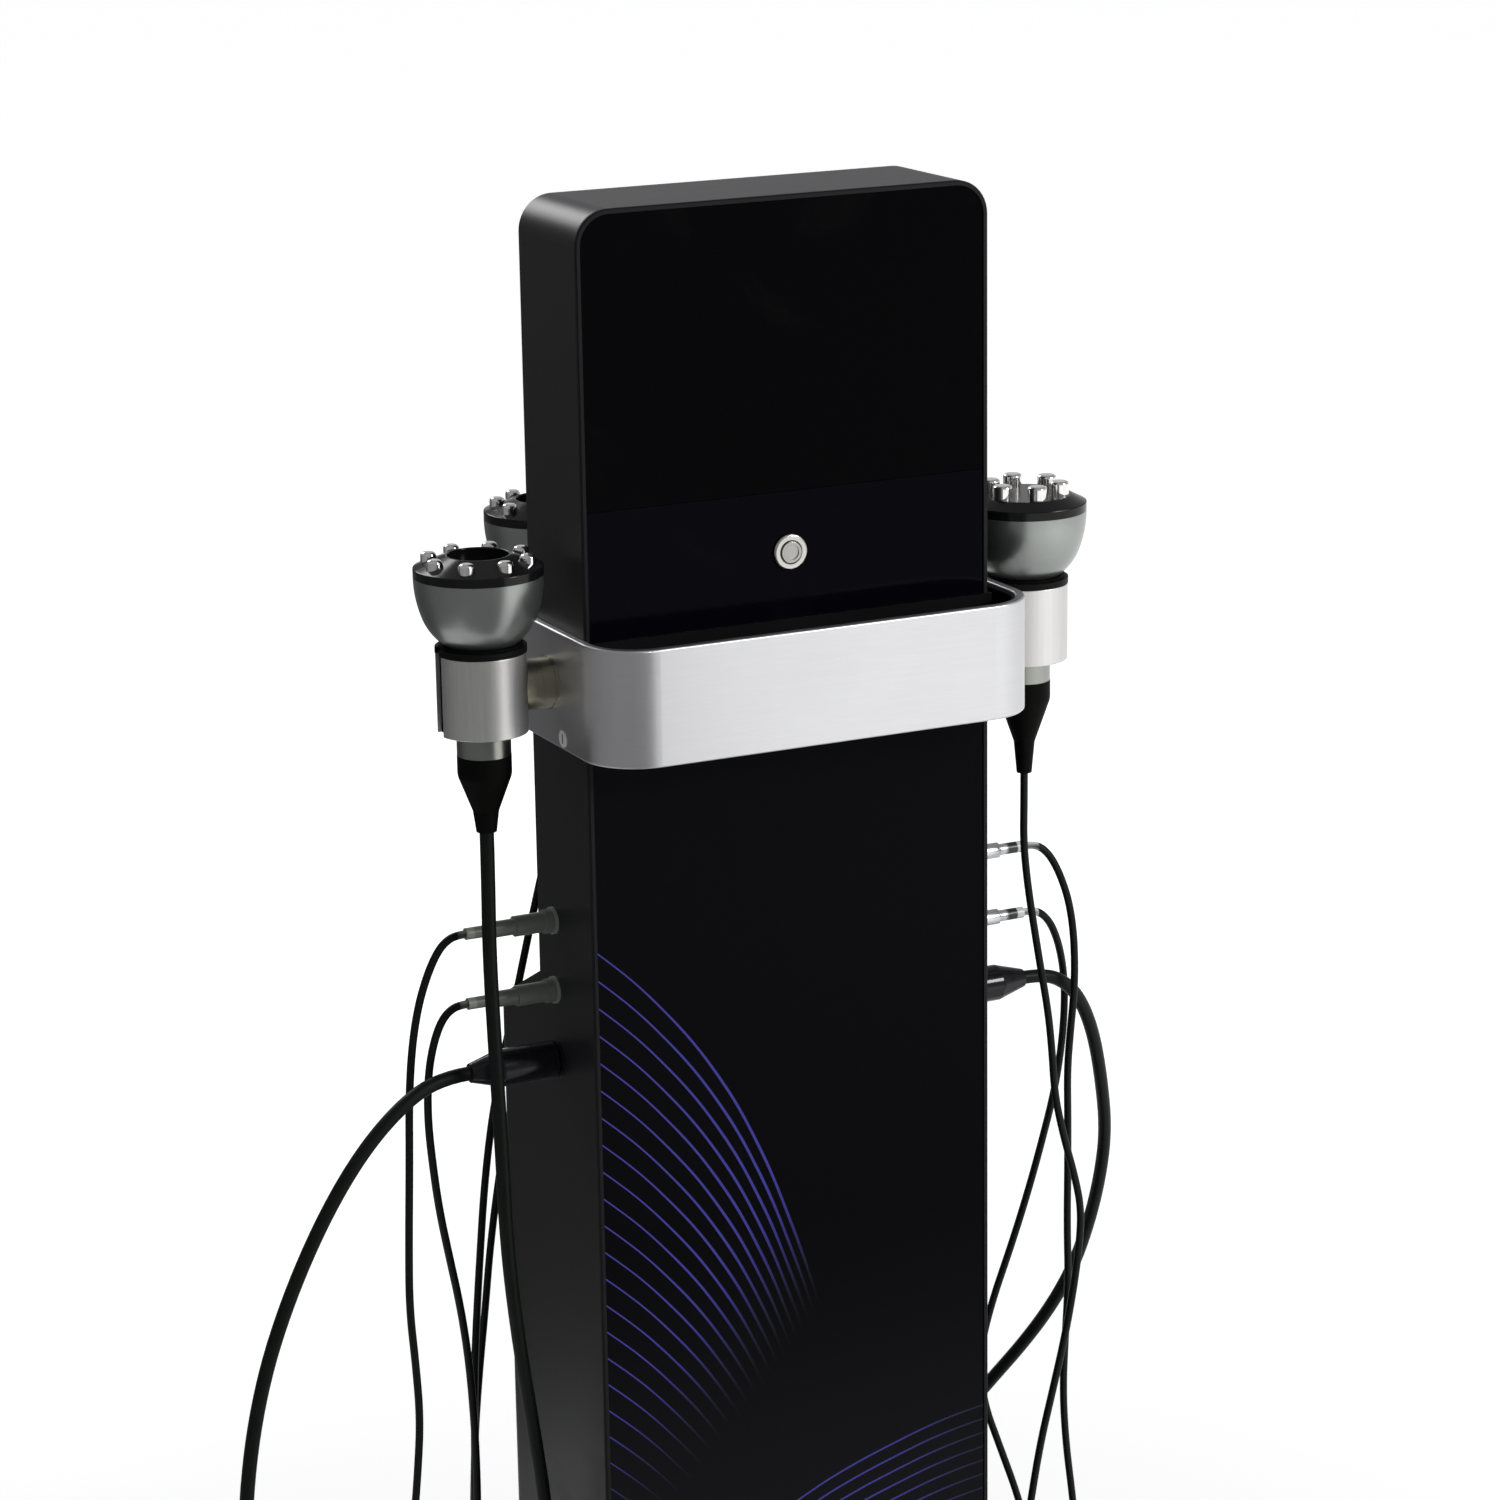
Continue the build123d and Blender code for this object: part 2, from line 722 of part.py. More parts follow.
# Handpiece tail: neck, core and boot
def make_tail(x, y, waist_radius, waist_drop, tip_radius, boot_length):
    neck_radius = cup_liner_bore - neck_gap
    neck_foot = rest_height - neck_length
    tip_height = ferrule_bottom - boot_length
    with BuildPart() as tail:
        with BuildSketch(upright(x, y)):
            with BuildLine():
                Polyline((0, bowl_foot_height),
                         (neck_flange_radius, bowl_foot_height),
                         (neck_flange_radius, rest_height), (neck_radius, rest_height),
                         (neck_radius, neck_foot), (stem_core_radius, neck_foot),
                         (stem_core_radius, ferrule_bottom),
                         (boot_radius, ferrule_bottom))
                FilletPolyline((boot_radius, ferrule_bottom),
                               (boot_radius, ferrule_bottom - boot_straight),
                               (waist_radius, ferrule_bottom - waist_drop), (tip_radius, tip_height),
                               radius=(boot_shoulder_round, boot_waist_round))
                Polyline((tip_radius, tip_height), (0, tip_height),
                         (0, bowl_foot_height))
            make_face()
        revolve(axis=upright_axis(x, y))
    return tail


# Face with a raised crown, for the peg electrodes
def crown_level(radius):
    rise_share = (bowl_radius - radius) / (bowl_radius - crown_inner_radius)
    return bowl_rim_height + crown_band + rise_share * (crown_height - crown_band)


peg_seat_height = crown_level(peg_circle_radius) - peg_seat_drop


def make_crown_face(x, y, start_angle):
    spigot_radius_inside = bowl_radius - bowl_wall - slip_gap
    crown_top = bowl_rim_height + crown_height
    recess_floor = crown_top - crown_recess_depth
    with BuildPart() as face:
        with BuildSketch(upright(x, y)):
            with BuildLine():
                Polyline((crown_recess_radius, recess_floor), (0, recess_floor),
                         (0, bowl_rim_height - face_spigot_length),
                         (spigot_radius_inside, bowl_rim_height - face_spigot_length),
                         (spigot_radius_inside, bowl_rim_height), (bowl_radius, bowl_rim_height))
                FilletPolyline((bowl_radius, bowl_rim_height), (bowl_radius, bowl_rim_height + crown_band),
                               (crown_inner_radius, crown_top), (crown_recess_radius, crown_top),
                               (crown_recess_radius, recess_floor), radius=face_edge_round)
            make_face()
        revolve(axis=upright_axis(x, y))
        with Locations((x, y, peg_seat_height)):
            with PolarLocations(peg_circle_radius, peg_count, start_angle=start_angle):
                Cylinder(peg_radius + slip_gap, crown_height, align=(Align.CENTER, Align.CENTER, Align.MIN),
                         mode=Mode.SUBTRACT)
                Cylinder(stud_radius + slip_gap / 2, stud_depth,
                         align=(Align.CENTER, Align.CENTER, Align.MAX), mode=Mode.SUBTRACT)
    return face


def make_pegs(x, y, start_angle):
    with BuildPart() as pegs:
        with Locations((x, y, peg_seat_height)):
            with PolarLocations(peg_circle_radius, peg_count, start_angle=start_angle):
                Cylinder(stud_radius, stud_depth, align=(Align.CENTER, Align.CENTER, Align.MAX))
                Cylinder(peg_radius, peg_seat_drop + peg_lift,
                         align=(Align.CENTER, Align.CENTER, Align.MIN))
        fillet(pegs.edges().group_by(Axis.Z)[-1], radius=peg_round)
    return pegs


# Face with a flat block, for the pillar electrodes
def make_block_face(x, y):
    spigot_radius_inside = bowl_radius - bowl_wall - slip_gap
    block_top = bowl_rim_height + block_height
    with BuildPart() as face:
        with BuildSketch(upright(x, y)):
            with BuildLine():
                Polyline((0, block_top), (0, bowl_rim_height - face_spigot_length),
                         (spigot_radius_inside, bowl_rim_height - face_spigot_length),
                         (spigot_radius_inside, bowl_rim_height), (bowl_radius, bowl_rim_height))
                FilletPolyline((bowl_radius, bowl_rim_height), (bowl_radius, bowl_rim_height + block_band),
                               (block_top_radius, block_top), (0, block_top), radius=face_edge_round)
            make_face()
        revolve(axis=upright_axis(x, y))
        with Locations((x, y, block_top)):
            with PolarLocations(pillar_circle_radius, pillar_count, start_angle=pillar_start_angle):
                Cylinder(stud_radius + slip_gap / 2, stud_depth,
                         align=(Align.CENTER, Align.CENTER, Align.MAX), mode=Mode.SUBTRACT)
    return face


def make_pillars(x, y):
    block_top = bowl_rim_height + block_height
    with BuildPart() as pillars:
        with Locations((x, y, block_top)):
            with PolarLocations(pillar_circle_radius, pillar_count, start_angle=pillar_start_angle):
                Cylinder(stud_radius, stud_depth, align=(Align.CENTER, Align.CENTER, Align.MAX))
                Cylinder(pillar_radius, pillar_height, align=(Align.CENTER, Align.CENTER, Align.MIN))
        fillet(pillars.edges().group_by(Axis.Z)[-1], radius=pillar_round)
    return pillars


for name, (place_x, place_y) in holder_places.items():
    keep(make_bowl(place_x, place_y), f"{name}_bowl")
    if name in ("left_front", "right_rear"):
        keep(make_tail(place_x, place_y, thick_boot_waist_radius, thick_boot_waist_drop,
                       thick_boot_tip_radius, thick_boot_length), f"{name}_tail")
    else:
        keep(make_tail(place_x, place_y, thin_boot_waist_radius, thin_boot_waist_drop,
                       thin_boot_tip_radius, thin_boot_length), f"{name}_tail")
    if name in peg_start_angles:
        keep(make_crown_face(place_x, place_y, peg_start_angles[name]), f"{name}_face")
        keep(make_pegs(place_x, place_y, peg_start_angles[name]), f"{name}_electrodes")
    else:
        keep(make_block_face(place_x, place_y), f"{name}_face")
        keep(make_pillars(place_x, place_y), f"{name}_electrodes")

# Cups for the small probes, on lugs at the rail
probe_y = rail_back_y + probe_cup_offset
with BuildPart() as probe_cups:
    for side in (-1, 1):
        with BuildSketch(Plane.XY.offset(rail_bottom)):
            with Locations((side * probe_x, rail_back_y)):
                Rectangle(probe_lug_width, probe_cup_offset, align=(Align.CENTER, Align.MIN))
            with Locations((side * probe_x, probe_y)):
                Circle(probe_cup_radius)
                Circle(probe_cup_bore, mode=Mode.SUBTRACT)
                Rectangle(probe_cup_slot, probe_cup_radius + overrun, align=(Align.CENTER, Align.MIN),
                          mode=Mode.SUBTRACT)
        extrude(amount=rail_top - rail_bottom)
keep(probe_cups, "probe_cups")


# Small probes: grip with three ball electrodes on its head
def make_probe(x, y):
    shoulder_level = rail_top + seat_gap
    tail_height = rail_bottom - probe_tail_drop
    probe_top = rail_top + probe_top_rise
    with BuildPart() as probe:
        with BuildSketch(upright(x, y)):
            with BuildLine():
                FilletPolyline((probe_tail_radius, tail_height),
                               (probe_boot_radius, rail_bottom - probe_boot_drop),
                               (probe_cup_bore - probe_bore_gap, rail_bottom),
                               (probe_cup_bore - probe_bore_gap, shoulder_level),
                               radius=(boot_shoulder_round, boot_shoulder_round))
                Polyline((probe_cup_bore - probe_bore_gap, shoulder_level),
                         (probe_shoulder_radius, shoulder_level),
                         (probe_shoulder_radius, shoulder_level + probe_shoulder_thickness))
                FilletPolyline((probe_shoulder_radius, shoulder_level + probe_shoulder_thickness),
                               (probe_waist_radius, rail_top + probe_waist_rise),
                               (probe_head_radius, rail_top + probe_head_rise),
                               (probe_head_radius, probe_top),
                               radius=(boot_shoulder_round, boot_waist_round))
                Polyline((probe_head_radius, probe_top), (0, probe_top),
                         (0, tail_height), (probe_tail_radius, tail_height))
            make_face()
        revolve(axis=upright_axis(x, y))
        with Locations((x, y, probe_top)):
            with PolarLocations(probe_ball_circle, probe_ball_count):
                Sphere(probe_ball_radius)
    return probe


keep(make_probe(-probe_x, probe_y), "left_probe")
keep(make_probe(probe_x, probe_y), "right_probe")

# Sockets in the column's sides
socket_face_x = side_x + socket_flange_thickness
with BuildPart() as side_sockets:
    for side in (-1, 1):
        for step in (0, 1, 2):
            flange_radius = thick_socket_flange_radius if step == 0 else thin_socket_flange_radius
            barrel_radius = thick_socket_barrel_radius if step == 0 else thin_socket_barrel_radius
            bore_radius = thick_socket_bore_radius if step == 0 else thin_socket_bore_radius
            socket_z = thick_socket_height + step * socket_pitch
            barrel_end = side_x - socket_barrel_length
            bore_end = socket_face_x - plug_nose_length - overrun
            with BuildSketch(sideways(side, socket_y, socket_z)):
                with BuildLine():
                    Polyline((barrel_end, 0), (barrel_end, barrel_radius), (side_x, barrel_radius),
                             (side_x, flange_radius), (socket_face_x, flange_radius),
                             (socket_face_x, bore_radius), (bore_end, bore_radius), (bore_end, 0),
                             close=True)
                make_face()
            revolve(axis=sideways_axis(side, socket_y, socket_z))
keep(side_sockets, "side_sockets")

# Plugs in those sockets
plug_root_x = socket_face_x + seat_gap
with BuildPart() as thin_plugs:
    for side in (-1, 1):
        for step in (1, 2):
            plug_z = thick_socket_height + step * socket_pitch
            nose_tip = socket_face_x - plug_nose_length
            nose_radius = thin_socket_bore_radius - slip_gap
            ring_end = plug_root_x + thin_plug_ring_length
            body_end = ring_end + thin_plug_body_length
            grip_end = body_end + thin_plug_grip_length
            tail_end = plug_root_x + thin_plug_tail_length
            with BuildSketch(sideways(side, socket_y, plug_z)):
                with BuildLine():
                    Polyline((nose_tip, 0), (nose_tip, nose_radius), (plug_root_x, nose_radius),
                             (plug_root_x, thin_plug_ring_radius), (ring_end, thin_plug_ring_radius),
                             (ring_end, thin_plug_body_radius), (body_end, thin_plug_body_radius),
                             (body_end, thin_plug_grip_radius), (grip_end, thin_plug_grip_radius),
                             (grip_end, thin_plug_tail_radius), (tail_end, thin_plug_tail_radius),
                             (tail_end, 0), close=True)
                make_face()
            revolve(axis=sideways_axis(side, socket_y, plug_z))
keep(thin_plugs, "thin_plugs")

with BuildPart() as thick_plugs:
    for side in (-1, 1):
        nose_tip = socket_face_x - plug_nose_length
        nose_radius = thick_socket_bore_radius - slip_gap
        body_end = plug_root_x + thick_plug_body_length
        tail_end = plug_root_x + thick_plug_tail_length
        with BuildSketch(sideways(side, socket_y, thick_socket_height)):
            with BuildLine():
                Polyline((nose_tip, 0), (nose_tip, nose_radius), (plug_root_x, nose_radius),
                         (plug_root_x, thick_plug_body_radius - plug_edge_round),
                         (plug_root_x + plug_edge_round, thick_plug_body_radius),
                         (body_end, thick_plug_body_radius), (tail_end, thick_plug_tail_radius),
                         (tail_end, 0), close=True)
            make_face()
        revolve(axis=sideways_axis(side, socket_y, thick_socket_height))
keep(thick_plugs, "thick_plugs")

# Cord routes, each from its plug to its handpiece or probe
cord_routes = {
    "left_front_cord": [
        (-200.2, -19, 703), (-222, -19, 703), (-250, -23, 690), (-279, -26, 664), (-307, -28, 625),
        (-333, -30, 576), (-352, -31, 526), (-364.5, -32, 468), (-370, -32.5, 400), (-366, -31, 332),
        (-346, -30, 270), (-307, -29, 222), (-257, -28, 203), (-208, -27.5, 220), (-174, -27, 265),
        (-159, -27, 327), (-160, -28, 394), (-169, -31, 458), (-180.5, -38, 524), (-188.5, -43, 590),
        (-190.5, -44.5, 655), (-192.5, -44, 720), (-193.5, -41.5, 785), (-191, -37.5, 838),
        (-191, -37.5, 865.5),
    ],
    "left_probe_cord": [
        (-200.2, -19, 795), (-207.4, -19, 795), (-214.2, -18.8, 791.4), (-219.4, -17.4, 784.4),
        (-224.6, -13.6, 770), (-229.4, -8.6, 749), (-233, -4.4, 721), (-235.2, -2, 686), (-236, -1, 647),
        (-239, -2, 590),
        (-240, -1, 545), (-236.5, 0.5, 505), (-235, 0, 468), (-237.5, 1, 432), (-242, 3, 385),
        (-243.5, 7, 335), (-239, 15, 285), (-229, 28, 240), (-213, 50, 207), (-194, 76, 192),
        (-175, 100, 202), (-161, 116, 236), (-153, 122.5, 288), (-150.5, 123.5, 340),
        (-147.5, 124.5, 388), (-142, 126, 434), (-135.5, 127.5, 478), (-130.5, 128.5, 518),
        (-124, 127.5, 562), (-116, 125.5, 608), (-104, 120, 655), (-88, 112, 700), (-70, 99, 742),
        (-50, 82, 778), (-34.5, 66, 808), (-28, 60, 839), (-28, 60, 868),
    ],
    "left_rear_cord": [
        (-200.2, -19, 749), (-207, -19, 749), (-213.4, -18.7, 745.6), (-218, -17.4, 739),
        (-221.6, -14.6, 727), (-223.8, -10.4, 710), (-224, -5.8, 690), (-222.4, -1, 667.5),
        (-219.5, 3, 645), (-213.5, 9, 606),
        (-205, 15, 568), (-196.5, 21, 532), (-190, 26, 494), (-186, 30, 455), (-184, 32.5, 415),
        (-183, 36, 372), (-182, 41, 330), (-180.9, 43.8, 300), (-178, 51.3, 281), (-173.3, 63.4, 270),
        (-167.8, 77.3, 271), (-163.4, 88.5, 283), (-161, 94.6, 303), (-160.5, 97, 335),
        (-159.5, 97, 373), (-158, 98.5, 410), (-156, 100, 448), (-152.5, 101, 488), (-148, 102.5, 530),
        (-143.5, 103.5, 572), (-136.5, 105, 616), (-127.5, 105.5, 656), (-117.5, 105, 696),
        (-108.5, 104, 734), (-100, 102.5, 770), (-92, 100, 804), (-87.5, 97.6, 832),
        (-87.5, 97.6, 852),
    ],
    "right_front_cord": [
        (200.2, -19, 795), (208.6, -19, 795), (216.4, -19.8, 791), (222.2, -21.8, 783), (227.4, -24.8, 770),
        (231.8, -27.8, 752.5), (234.4, -29.8, 728), (234.6, -30.4, 695), (231.5, -30, 663),
        (230.5, -28, 635), (233.5, -24, 600),
        (236, -20, 560), (238, -16, 518), (241, -13, 475), (240, -11, 434), (239, -9.5, 394),
        (242.5, -8, 352), (249, -7, 308), (253.5, -6.5, 266), (252, -7.2, 236), (246, -9.5, 214),
        (234.5, -13.5, 200), (219.5, -18.5, 199), (206.5, -23, 210), (199, -25.5, 230),
        (196.5, -27.5, 258), (197.5, -28.5, 292), (202.5, -30, 330), (208.5, -32, 370),
        (215.5, -36, 408), (222, -40, 445), (227, -43, 480), (230, -46, 514), (230, -48.5, 542),
        (224, -49.5, 568), (215.5, -49, 597), (209, -48, 628), (207.5, -47, 658), (205, -46, 686),
        (200, -45, 715.5), (196, -43, 744), (192, -41, 774), (190, -38.5, 804), (191, -37.5, 831),
        (191, -37.5, 852),
    ],
    "right_probe_cord": [
        (200.2, -19, 749), (209, -19, 749), (217.4, -18, 744.6), (226.4, -15, 733.6), (235.6, -9.6, 714),
        (242.8, -3, 689), (246.6, 4, 661), (248.5, 12, 631), (249, 21.5, 600), (247, 33, 564),
        (241.5, 43.5, 522), (232, 52, 478), (219.5, 57, 437), (210, 57.5, 400), (211.5, 54, 365),
        (220.5, 47.5, 333), (231, 39, 295), (239, 33, 255), (240, 35, 215), (229.5, 48, 183),
        (207.5, 68, 166), (180, 87, 161), (151, 102, 170), (123, 110.5, 191), (98.5, 114, 227),
        (80.5, 115, 273), (68.5, 114, 325), (61, 113, 383), (56, 111, 443), (52.5, 110, 503),
        (47.5, 108.5, 563), (42.5, 106, 622), (37, 104, 680), (33, 98, 733), (30, 86, 778),
        (27, 68, 812), (28, 60, 842), (28, 60, 868),
    ],
    "right_rear_cord": [
        (200.2, -19, 703), (214.5, -19, 703), (231, -18.2, 697), (246.5, -15.4, 682),
        (261.5, -8.6, 654), (275, 2.5, 616), (289.5, 19, 568), (293, 32, 528), (293, 46.5, 489),
        (289, 61.5, 450), (279.5, 76.5, 416), (265, 91, 385), (246, 107, 353), (223, 121, 319),
        (199, 130, 290),
        (170, 136.5, 270), (137, 139.5, 264), (106, 139, 277), (86.5, 135.5, 306), (80, 132, 350),
        (79.5, 128, 402), (81, 124, 460), (84, 120.5, 522), (88, 116.5, 585), (90.5, 115, 645),
        (90.5, 113, 703), (89.5, 109, 755), (88.5, 101.5, 799), (87.5, 97.6, 836), (87.5, 97.6, 865.5),
    ],
}


def corner_radii(points):
    vectors = [Vector(*point) for point in points]
    radii = []
    for before, corner, after in zip(vectors, vectors[1:], vectors[2:]):
        arriving, leaving = corner - before, after - corner
        half_turn = radians(arriving.get_angle(leaving) / 2)
        radii.append(0.45 * min(arriving.length, leaving.length) / tan(half_turn))
    return radii


def make_cord(points, diameter):
    radii = corner_radii(points)
    with BuildPart() as cord:
        with BuildLine() as route:
            FilletPolyline(*points, radius=radii)
        path = route.wires()[0]
        with BuildSketch(Plane(origin=path @ 0, z_dir=path % 0)):
            Circle(diameter / 2)
        sweep(path=path)
    section = pi * diameter ** 2 / 4
    print("  length", round(path.length, 1), "least radius", round(min(radii), 1),
          "volume share", round(cord.part.volume / (section * path.length), 4))
    return cord


for name, points in cord_routes.items():
    thick = name in ("left_front_cord", "right_rear_cord")
    keep(make_cord(points, thick_cord_diameter if thick else thin_cord_diameter), name)

# Plinth: a hollow base with bosses for the caster stems
with BuildPart() as plinth:
    with BuildSketch(Plane.XY.offset(plinth_bottom)):
        RectangleRounded(plinth_width, plinth_depth, plinth_corner)
    extrude(amount=plinth_height)
    fillet(plinth.faces().sort_by(Axis.Z)[-1].edges(), radius=plinth_edge_round)
    with BuildSketch(Plane.XY.offset(plinth_bottom)):
        RectangleRounded(plinth_width - 2 * plinth_wall, plinth_depth - 2 * plinth_wall,
                         plinth_corner - plinth_wall)
    extrude(amount=plinth_height - plinth_wall, mode=Mode.SUBTRACT)
    with BuildSketch(Plane.XY.offset(plinth_bottom)):
        with GridLocations(caster_spread_x, caster_spread_y, 2, 2):
            Circle(stem_boss_radius)
    extrude(amount=plinth_height - plinth_wall)
    with BuildSketch(Plane.XY.offset(plinth_bottom)):
        with GridLocations(caster_spread_x, caster_spread_y, 2, 2):
            Circle(stem_radius + running_gap)
    extrude(amount=stem_length + stem_end_gap, mode=Mode.SUBTRACT)
keep(plinth, "plinth")


# Swivel casters: fork with stem and axle, and wheel
def make_fork(x, y):
    head_top = plinth_bottom - fork_head_gap
    head_bottom = head_top - fork_head_thickness
    cheek_x = wheel_width / 2 + fork_side_gap
    axle_y = y + caster_trail
    with BuildPart() as fork:
        with BuildSketch(Plane.XY.offset(head_bottom)):
            with Locations((x, y)):
                Circle(fork_head_radius)
        extrude(amount=fork_head_thickness)
        with BuildSketch(Plane.XY.offset(head_top)):
            with Locations((x, y)):
                Circle(stem_radius)
        extrude(amount=stem_length + fork_head_gap)
        for cheek_side in (-1, 1):
            near_x = x + cheek_side * cheek_x
            with BuildSketch(Plane.YZ.offset(near_x)):
                with BuildLine():
                    Polyline((y - fork_eye_radius, head_bottom), (axle_y - fork_eye_radius, wheel_radius),
                             (axle_y + fork_eye_radius, wheel_radius),
                             (y + fork_head_radius / 2, head_bottom), close=True)
                make_face()
                with Locations((axle_y, wheel_radius)):
                    Circle(fork_eye_radius)
            extrude(amount=cheek_side * fork_cheek)
        with BuildSketch(Plane.YZ.offset(x - cheek_x)):
            with Locations((axle_y, wheel_radius)):
                Circle(axle_radius)
        extrude(amount=2 * cheek_x)
    return fork


def make_wheel(x, y):
    axle_y = y + caster_trail
    with BuildPart() as wheel:
        with BuildSketch(Plane.YZ.offset(x - wheel_width / 2)):
            with Locations((axle_y, wheel_radius)):
                Circle(wheel_radius)
        extrude(amount=wheel_width)
        fillet(wheel.edges().filter_by(GeomType.CIRCLE), radius=wheel_tread_round)
        for web_side in (-1, 1):
            with BuildSketch(Plane.YZ.offset(x + web_side * wheel_width / 2)):
                with Locations((axle_y, wheel_radius)):
                    Circle(wheel_radius - wheel_rim)
                    Circle(wheel_hub_radius, mode=Mode.SUBTRACT)
            extrude(amount=-web_side * wheel_web_inset, mode=Mode.SUBTRACT)
        with BuildSketch(Plane.YZ.offset(x - wheel_width / 2)):
            with Locations((axle_y, wheel_radius)):
                Circle(axle_radius + running_gap)
        extrude(amount=wheel_width, mode=Mode.SUBTRACT)
    return wheel


for row, row_side in (("front", -1), ("rear", 1)):
    for flank, flank_side in (("left", -1), ("right", 1)):
        stem_x = flank_side * caster_spread_x / 2
        stem_y = row_side * caster_spread_y / 2
        keep(make_fork(stem_x, stem_y), f"{flank}_{row}_fork")
        keep(make_wheel(stem_x, stem_y), f"{flank}_{row}_wheel")


# Power modules on the floors of column and cabinet, with vent slots in their fronts
generator_y = (panel_back_y + inner_back_y) / 2
supply_y = (back_y + cabinet_inner_back) / 2
module_places = (
    (generator_width, generator_depth, generator_height, generator_y, inner_floor),
    (supply_width, supply_depth, supply_height, supply_y, column_bottom + cabinet_wall),
)
with BuildPart() as power_modules:
    for width, depth, height, middle_y, floor in module_places:
        with BuildSketch(Plane.XY.offset(floor)):
            with Locations((0, middle_y)):
                Rectangle(width, depth)
        extrude(amount=height)
        with BuildSketch(Plane.XZ.offset(-(middle_y - depth / 2))):
            with Locations((0, floor + height / 2)):
                with GridLocations(0, vent_slot_pitch, 1, vent_slot_count):
                    SlotOverall(vent_slot_length, vent_slot_width)
        extrude(amount=-vent_slot_depth, mode=Mode.SUBTRACT)
keep(power_modules, "power_modules")

# Main board on standoffs at the column's back wall
with BuildPart() as main_board:
    board_back_y = inner_back_y - board_standoff
    with BuildSketch(Plane.XZ.offset(-board_back_y)):
        with Locations((0, board_bottom + board_height / 2)):
            Rectangle(board_width, board_height)
    extrude(amount=board_thickness)
    with BuildSketch(Plane.XZ.offset(-board_back_y)):
        with Locations((0, board_bottom + board_height / 2)):
            with GridLocations(board_width - 2 * board_margin, board_height - 2 * board_margin, 2, 2):
                Circle(board_standoff_radius)
    extrude(amount=-board_standoff)
    with BuildSketch(Plane.XZ.offset(-board_back_y + board_thickness)):
        with Locations((0, board_bottom + board_height / 2)):
            with GridLocations(board_chip_pitch, 0, board_chip_count, 1):
                Rectangle(board_chip_width, board_chip_height)
    extrude(amount=board_chip_depth)
keep(main_board, "main_board")

# Cooling fan behind the grille: frame with spider and pin, and rotor
fan_back_y = cabinet_inner_back
fan_front_y = fan_back_y - fan_depth
with BuildPart() as fan_frame:
    with BuildSketch(Plane.XZ.offset(-fan_front_y)):
        with Locations((0, fan_height)):
            Rectangle(fan_size, fan_size)
            Circle(fan_duct_radius, mode=Mode.SUBTRACT)
    extrude(amount=-fan_depth)
    with BuildSketch(Plane.XZ.offset(-fan_front_y)):
        with Locations((0, fan_height)):
            Rectangle(2 * fan_duct_radius + fan_spoke_width / 2, fan_spoke_width)
            Rectangle(fan_spoke_width, 2 * fan_duct_radius + fan_spoke_width / 2)
            Circle(fan_hub_radius)
    extrude(amount=-fan_spider)
    with BuildSketch(Plane.XZ.offset(-(fan_front_y + fan_spider))):
        with Locations((0, fan_height)):
            Circle(fan_pin_radius)
    extrude(amount=-fan_pin_length)
keep(fan_frame, "fan_frame")

rotor_front_y = fan_front_y + fan_spider + 2 * seat_gap
with BuildPart() as fan_rotor:
    with BuildSketch(Plane.XZ.offset(-rotor_front_y)):
        with Locations((0, fan_height)):
            Circle(fan_rotor_hub_radius)
    extrude(amount=-fan_rotor_hub_length)
    blade_reach = fan_duct_radius - fan_tip_gap
    blade_length = blade_reach - fan_rotor_hub_radius / 2
    blade_middle = blade_reach - blade_length / 2
    rotor_middle_y = rotor_front_y + fan_rotor_hub_length / 2
    with Locations(Plane(origin=(0, rotor_middle_y, fan_height), x_dir=(1, 0, 0), z_dir=(0, 1, 0))):
        with PolarLocations(blade_middle, fan_blade_count):
            with Locations(Rotation(fan_blade_pitch, 0, 0)):
                Box(blade_length, fan_blade_thickness, fan_blade_chord)
    with BuildSketch(Plane.XZ.offset(-rotor_front_y)):
        with Locations((0, fan_height)):
            Circle(fan_pin_radius + running_gap)
    extrude(amount=-fan_rotor_hub_length, mode=Mode.SUBTRACT)
keep(fan_rotor, "fan_rotor")

# Mains inlet: flanged housing with a pin recess and a rocker cradle
inlet_face_y = cabinet_back_y + inlet_flange_thickness
rocker_y = inlet_face_y - rocker_pivot_depth
rocker_z = inlet_height + rocker_rise
recess_z = inlet_height - inlet_recess_drop
with BuildPart() as mains_inlet:
    with BuildSketch(Plane.XZ.offset(-inlet_face_y)):
        with Locations((0, inlet_height)):
            Rectangle(inlet_flange_width, inlet_flange_height)
    extrude(amount=inlet_flange_thickness)
    with BuildSketch(Plane.XZ.offset(-cabinet_back_y)):
        with Locations((0, inlet_height)):
            Rectangle(inlet_body_width, inlet_body_height)
    extrude(amount=inlet_body_depth)
    with BuildSketch(Plane.XZ.offset(-inlet_face_y)):
        with Locations((0, recess_z)):
            Rectangle(inlet_recess_width, inlet_recess_height)
    extrude(amount=inlet_recess_depth, mode=Mode.SUBTRACT)
    with BuildSketch(Plane.XZ.offset(-(inlet_face_y - inlet_recess_depth))):
        with Locations((0, recess_z)):
            with GridLocations(inlet_pin_pitch, 0, 3, 1):
                Rectangle(inlet_pin_width, inlet_pin_height)
    extrude(amount=-inlet_pin_length)
    with Locations(Location((0, rocker_y, rocker_z), (0, 90, 0))):
        Cylinder(rocker_radius + rocker_gap, rocker_width + 2 * rocker_gap, mode=Mode.SUBTRACT)
        Cylinder(rocker_pin_radius + running_gap, rocker_width + 2 * rocker_pin_length + 2 * rocker_gap,
                 mode=Mode.SUBTRACT)
keep(mains_inlet, "mains_inlet")

